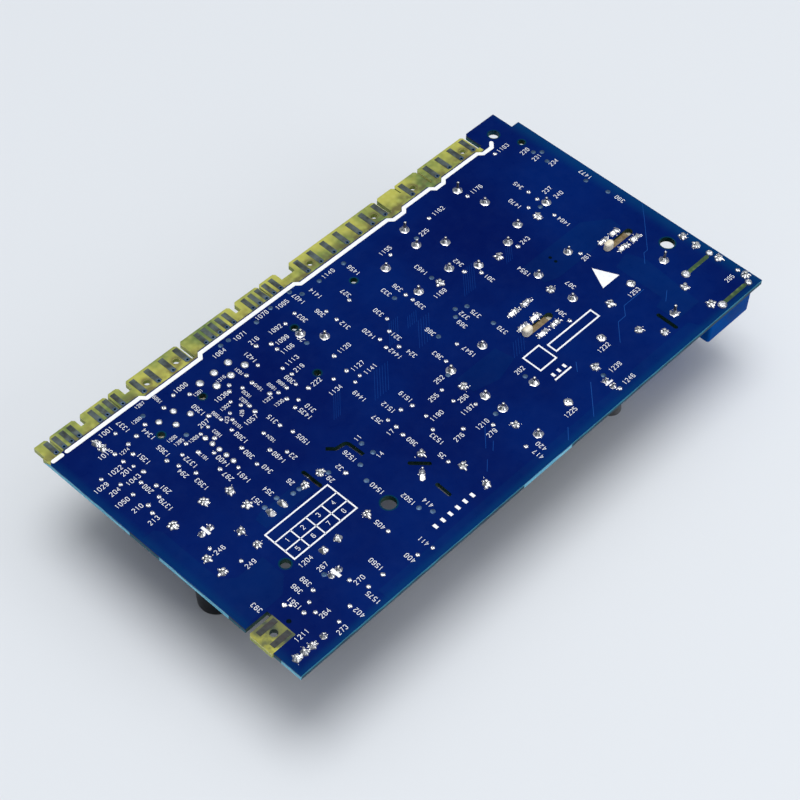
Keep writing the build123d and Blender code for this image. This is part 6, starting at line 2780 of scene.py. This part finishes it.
class Components:
    """Every part on the component side."""

    cans = (
        Can("bulk_capacitor", (1.3, 0.7), 2.4), Can("small_capacitor_1", groove=1.6),
        Can("small_capacitor_2", groove=1.8), Can("small_capacitor_3", (1.9, 0.0), 1.6),
    )
    discs = (
        Disc("varistor_1", 6.1, 90, 10.0, 4.4), Disc("varistor_2", 7.8, 18, 11.0, 4.8),
        Disc("safety_capacitor_1", 4.8, 90, 9.0, 4.0), Disc("safety_capacitor_2", 6.6, 45, 9.0, 4.0),
        Disc("safety_capacitor_3", 7.9, 90, 10.0, 4.0),
    )

    def build(self, shop: Workshop) -> None:
        """Builds them in groups."""
        relays = [Relay(f"relay_{number}") for number in range(1, 7)]
        boxes = [BoxCapacitor(node) for node in ("mains_capacitor", "film_capacitor_1", "film_capacitor_2")]
        for part in (*relays, *self.cans, *boxes, *self.discs):
            part.build(shop)
        Lying("axial_choke", 18.1, "bobbin_plastic").choke(shop)
        Lying("fuse_resistor", 10.3, "resistor_coating").resistor(shop)
        chips = [Chip(node) for node in ("microcontroller", "relay_driver", "memory_chip")]
        for part in (
            Buzzer(), Toroid(), Transformer(), Tabs(), Headers(), *chips, SmallParts(), UndersidePrint()
        ):
            part.build(shop)


# ---------------------------------------------------------------- studio


@dataclass(frozen=True)
class Studio:
    """Camera, floor and lights.

    Attributes:
        eye: Place of the camera, in millimetres.
        aim: What it looks at, in millimetres.
        roll: Turn of the camera about its line of sight, in degrees.
        lens: Focal length on a 36 mm sensor.
        white: Colour of the lamps.
    """

    eye: Triple = (-273.087, -240.504, 453.812)
    aim: Triple = (-11.29, -6.89, 30.0)
    roll: float = 2.22
    lens: float = 96.25
    white: Colour = srgb(255, 253, 250)

    def camera(self) -> None:
        """Places the camera."""
        data = bpy.data.cameras.new("studio_camera")
        data.lens, data.sensor_width, data.sensor_fit = self.lens, 36.0, "HORIZONTAL"
        data.clip_start, data.clip_end = 0.01, 50.0
        made = bpy.data.objects.new("studio_camera", data)
        eye, aim = Vector(self.eye) * MM, Vector(self.aim) * MM
        view = (aim - eye).normalized()
        right = view.cross(UP).normalized()
        up = right.cross(view)
        a = radians(self.roll)
        across, above = right * cos(a) + up * sin(a), up * cos(a) - right * sin(a)
        made.matrix_world = Matrix.Translation(eye) @ Matrix((across, above, -view)).transposed().to_4x4()
        bpy.context.scene.collection.objects.link(made)
        bpy.context.scene.camera = made

    def floor(self) -> None:
        """Lays the plain pale floor."""
        shape = Shape()
        shape.prism(rounded(8.0, 8.0, 0.3), -0.02, 0.0)
        material = bpy.data.materials.new("studio_floor")
        material.use_nodes = True
        shader = material.node_tree.nodes["Principled BSDF"]
        shader.inputs["Base Color"].default_value = srgb(222, 227, 233)
        shader.inputs["Roughness"].default_value = 0.75
        shader.inputs["Specular IOR Level"].default_value = 0.1
        shape.make("studio_floor", [material], 30)

    def lamp(self, name: str, place: Triple, size: float, power: float, tint: Colour) -> None:
        """Hangs one soft square lamp that faces the board.

        Args:
            name: Name of the lamp.
            place: Where it hangs, in metres.
            size: Its side, in metres.
            power: Its power, in watts.
            tint: Its colour.
        """
        data = bpy.data.lights.new(name, "AREA")
        data.shape, data.size, data.energy, data.color = "SQUARE", size, power, tint[:3]
        made = bpy.data.objects.new(name, data)
        made.location = place
        made.rotation_mode = "QUATERNION"
        made.rotation_quaternion = (Vector((0, 0, 0.02)) - Vector(place)).to_track_quat("-Z", "Y")
        bpy.context.scene.collection.objects.link(made)

    def daylight(self, strength: float, spread: float) -> None:
        """Lights the scene evenly from above.

        Args:
            strength: Light that falls on the floor, in watts on a square metre.
            spread: Width of the bright patch of sky, in degrees.
        """
        data = bpy.data.lights.new("top_light", "SUN")
        data.energy, data.angle, data.color = strength, radians(spread), self.white[:3]
        made = bpy.data.objects.new("top_light", data)
        made.rotation_mode = "QUATERNION"
        made.rotation_quaternion = Vector((0.05, 0.08, 1.0)).to_track_quat("Z", "Y")
        bpy.context.scene.collection.objects.link(made)

    def world(self) -> None:
        """Surrounds the scene with a pale backdrop, lit from straight above more than from its sides."""
        made = bpy.data.worlds.new("studio_world")
        bpy.context.scene.world = made
        made.use_nodes = True
        made.node_tree.nodes.clear()
        graph = Graph(made.node_tree)
        height = graph.add(
            "ShaderNodeSeparateXYZ", {0: graph.add("ShaderNodeTexCoord").outputs["Generated"]}
        )
        share = graph.ranged(height.outputs["Z"], 0.66, 0.88)
        dim = graph.ranged(height.outputs["X"], 0.1, -0.8)
        sky = graph.blend(dim, srgb(132, 137, 145), srgb(72, 78, 88))
        sky = graph.blend(share, sky, srgb(255, 255, 255))
        seen = graph.add("ShaderNodeLightPath").outputs["Is Camera Ray"]
        colour = graph.blend(seen, sky, srgb(236, 240, 244))
        back = graph.add("ShaderNodeBackground", {"Color": colour, "Strength": 1.0})
        graph.add("ShaderNodeOutputWorld", {"Surface": back.outputs[0]})

    def build(self) -> None:
        """Sets the whole studio up."""
        self.camera()
        self.floor()
        self.world()
        white = self.white
        self.daylight(1.5, 38.0)
        self.lamp("key_lamp", (-0.62, -0.34, 0.5), 0.4, 0.3, white)
        self.lamp("fill_lamp", (0.3, -0.75, 0.45), 0.4, 1.3, white)
        bpy.context.scene.view_settings.view_transform = "Standard"


def main() -> None:
    """Builds the studio and every piece in order."""
    logging.basicConfig(level=logging.INFO, format="%(message)s")
    Studio().build()
    shop = Workshop()
    BoardLook().build(shop)
    log.info("board: lacquer, bare tabs and cut edges")
    Copper().build(shop)
    log.info("copper: pours, traces, pads and vias")
    Print().build(shop)
    log.info("print: border, table and numbers")
    Solder().build(shop)
    log.info("solder: every joint")
    Components().build(shop)
    log.info("component side: every part")
    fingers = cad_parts["edge_fingers"]
    fingers.data.materials.clear()
    fingers.data.materials.append(shop.get(finger_tin))


if __name__ == "__main__":
    main()
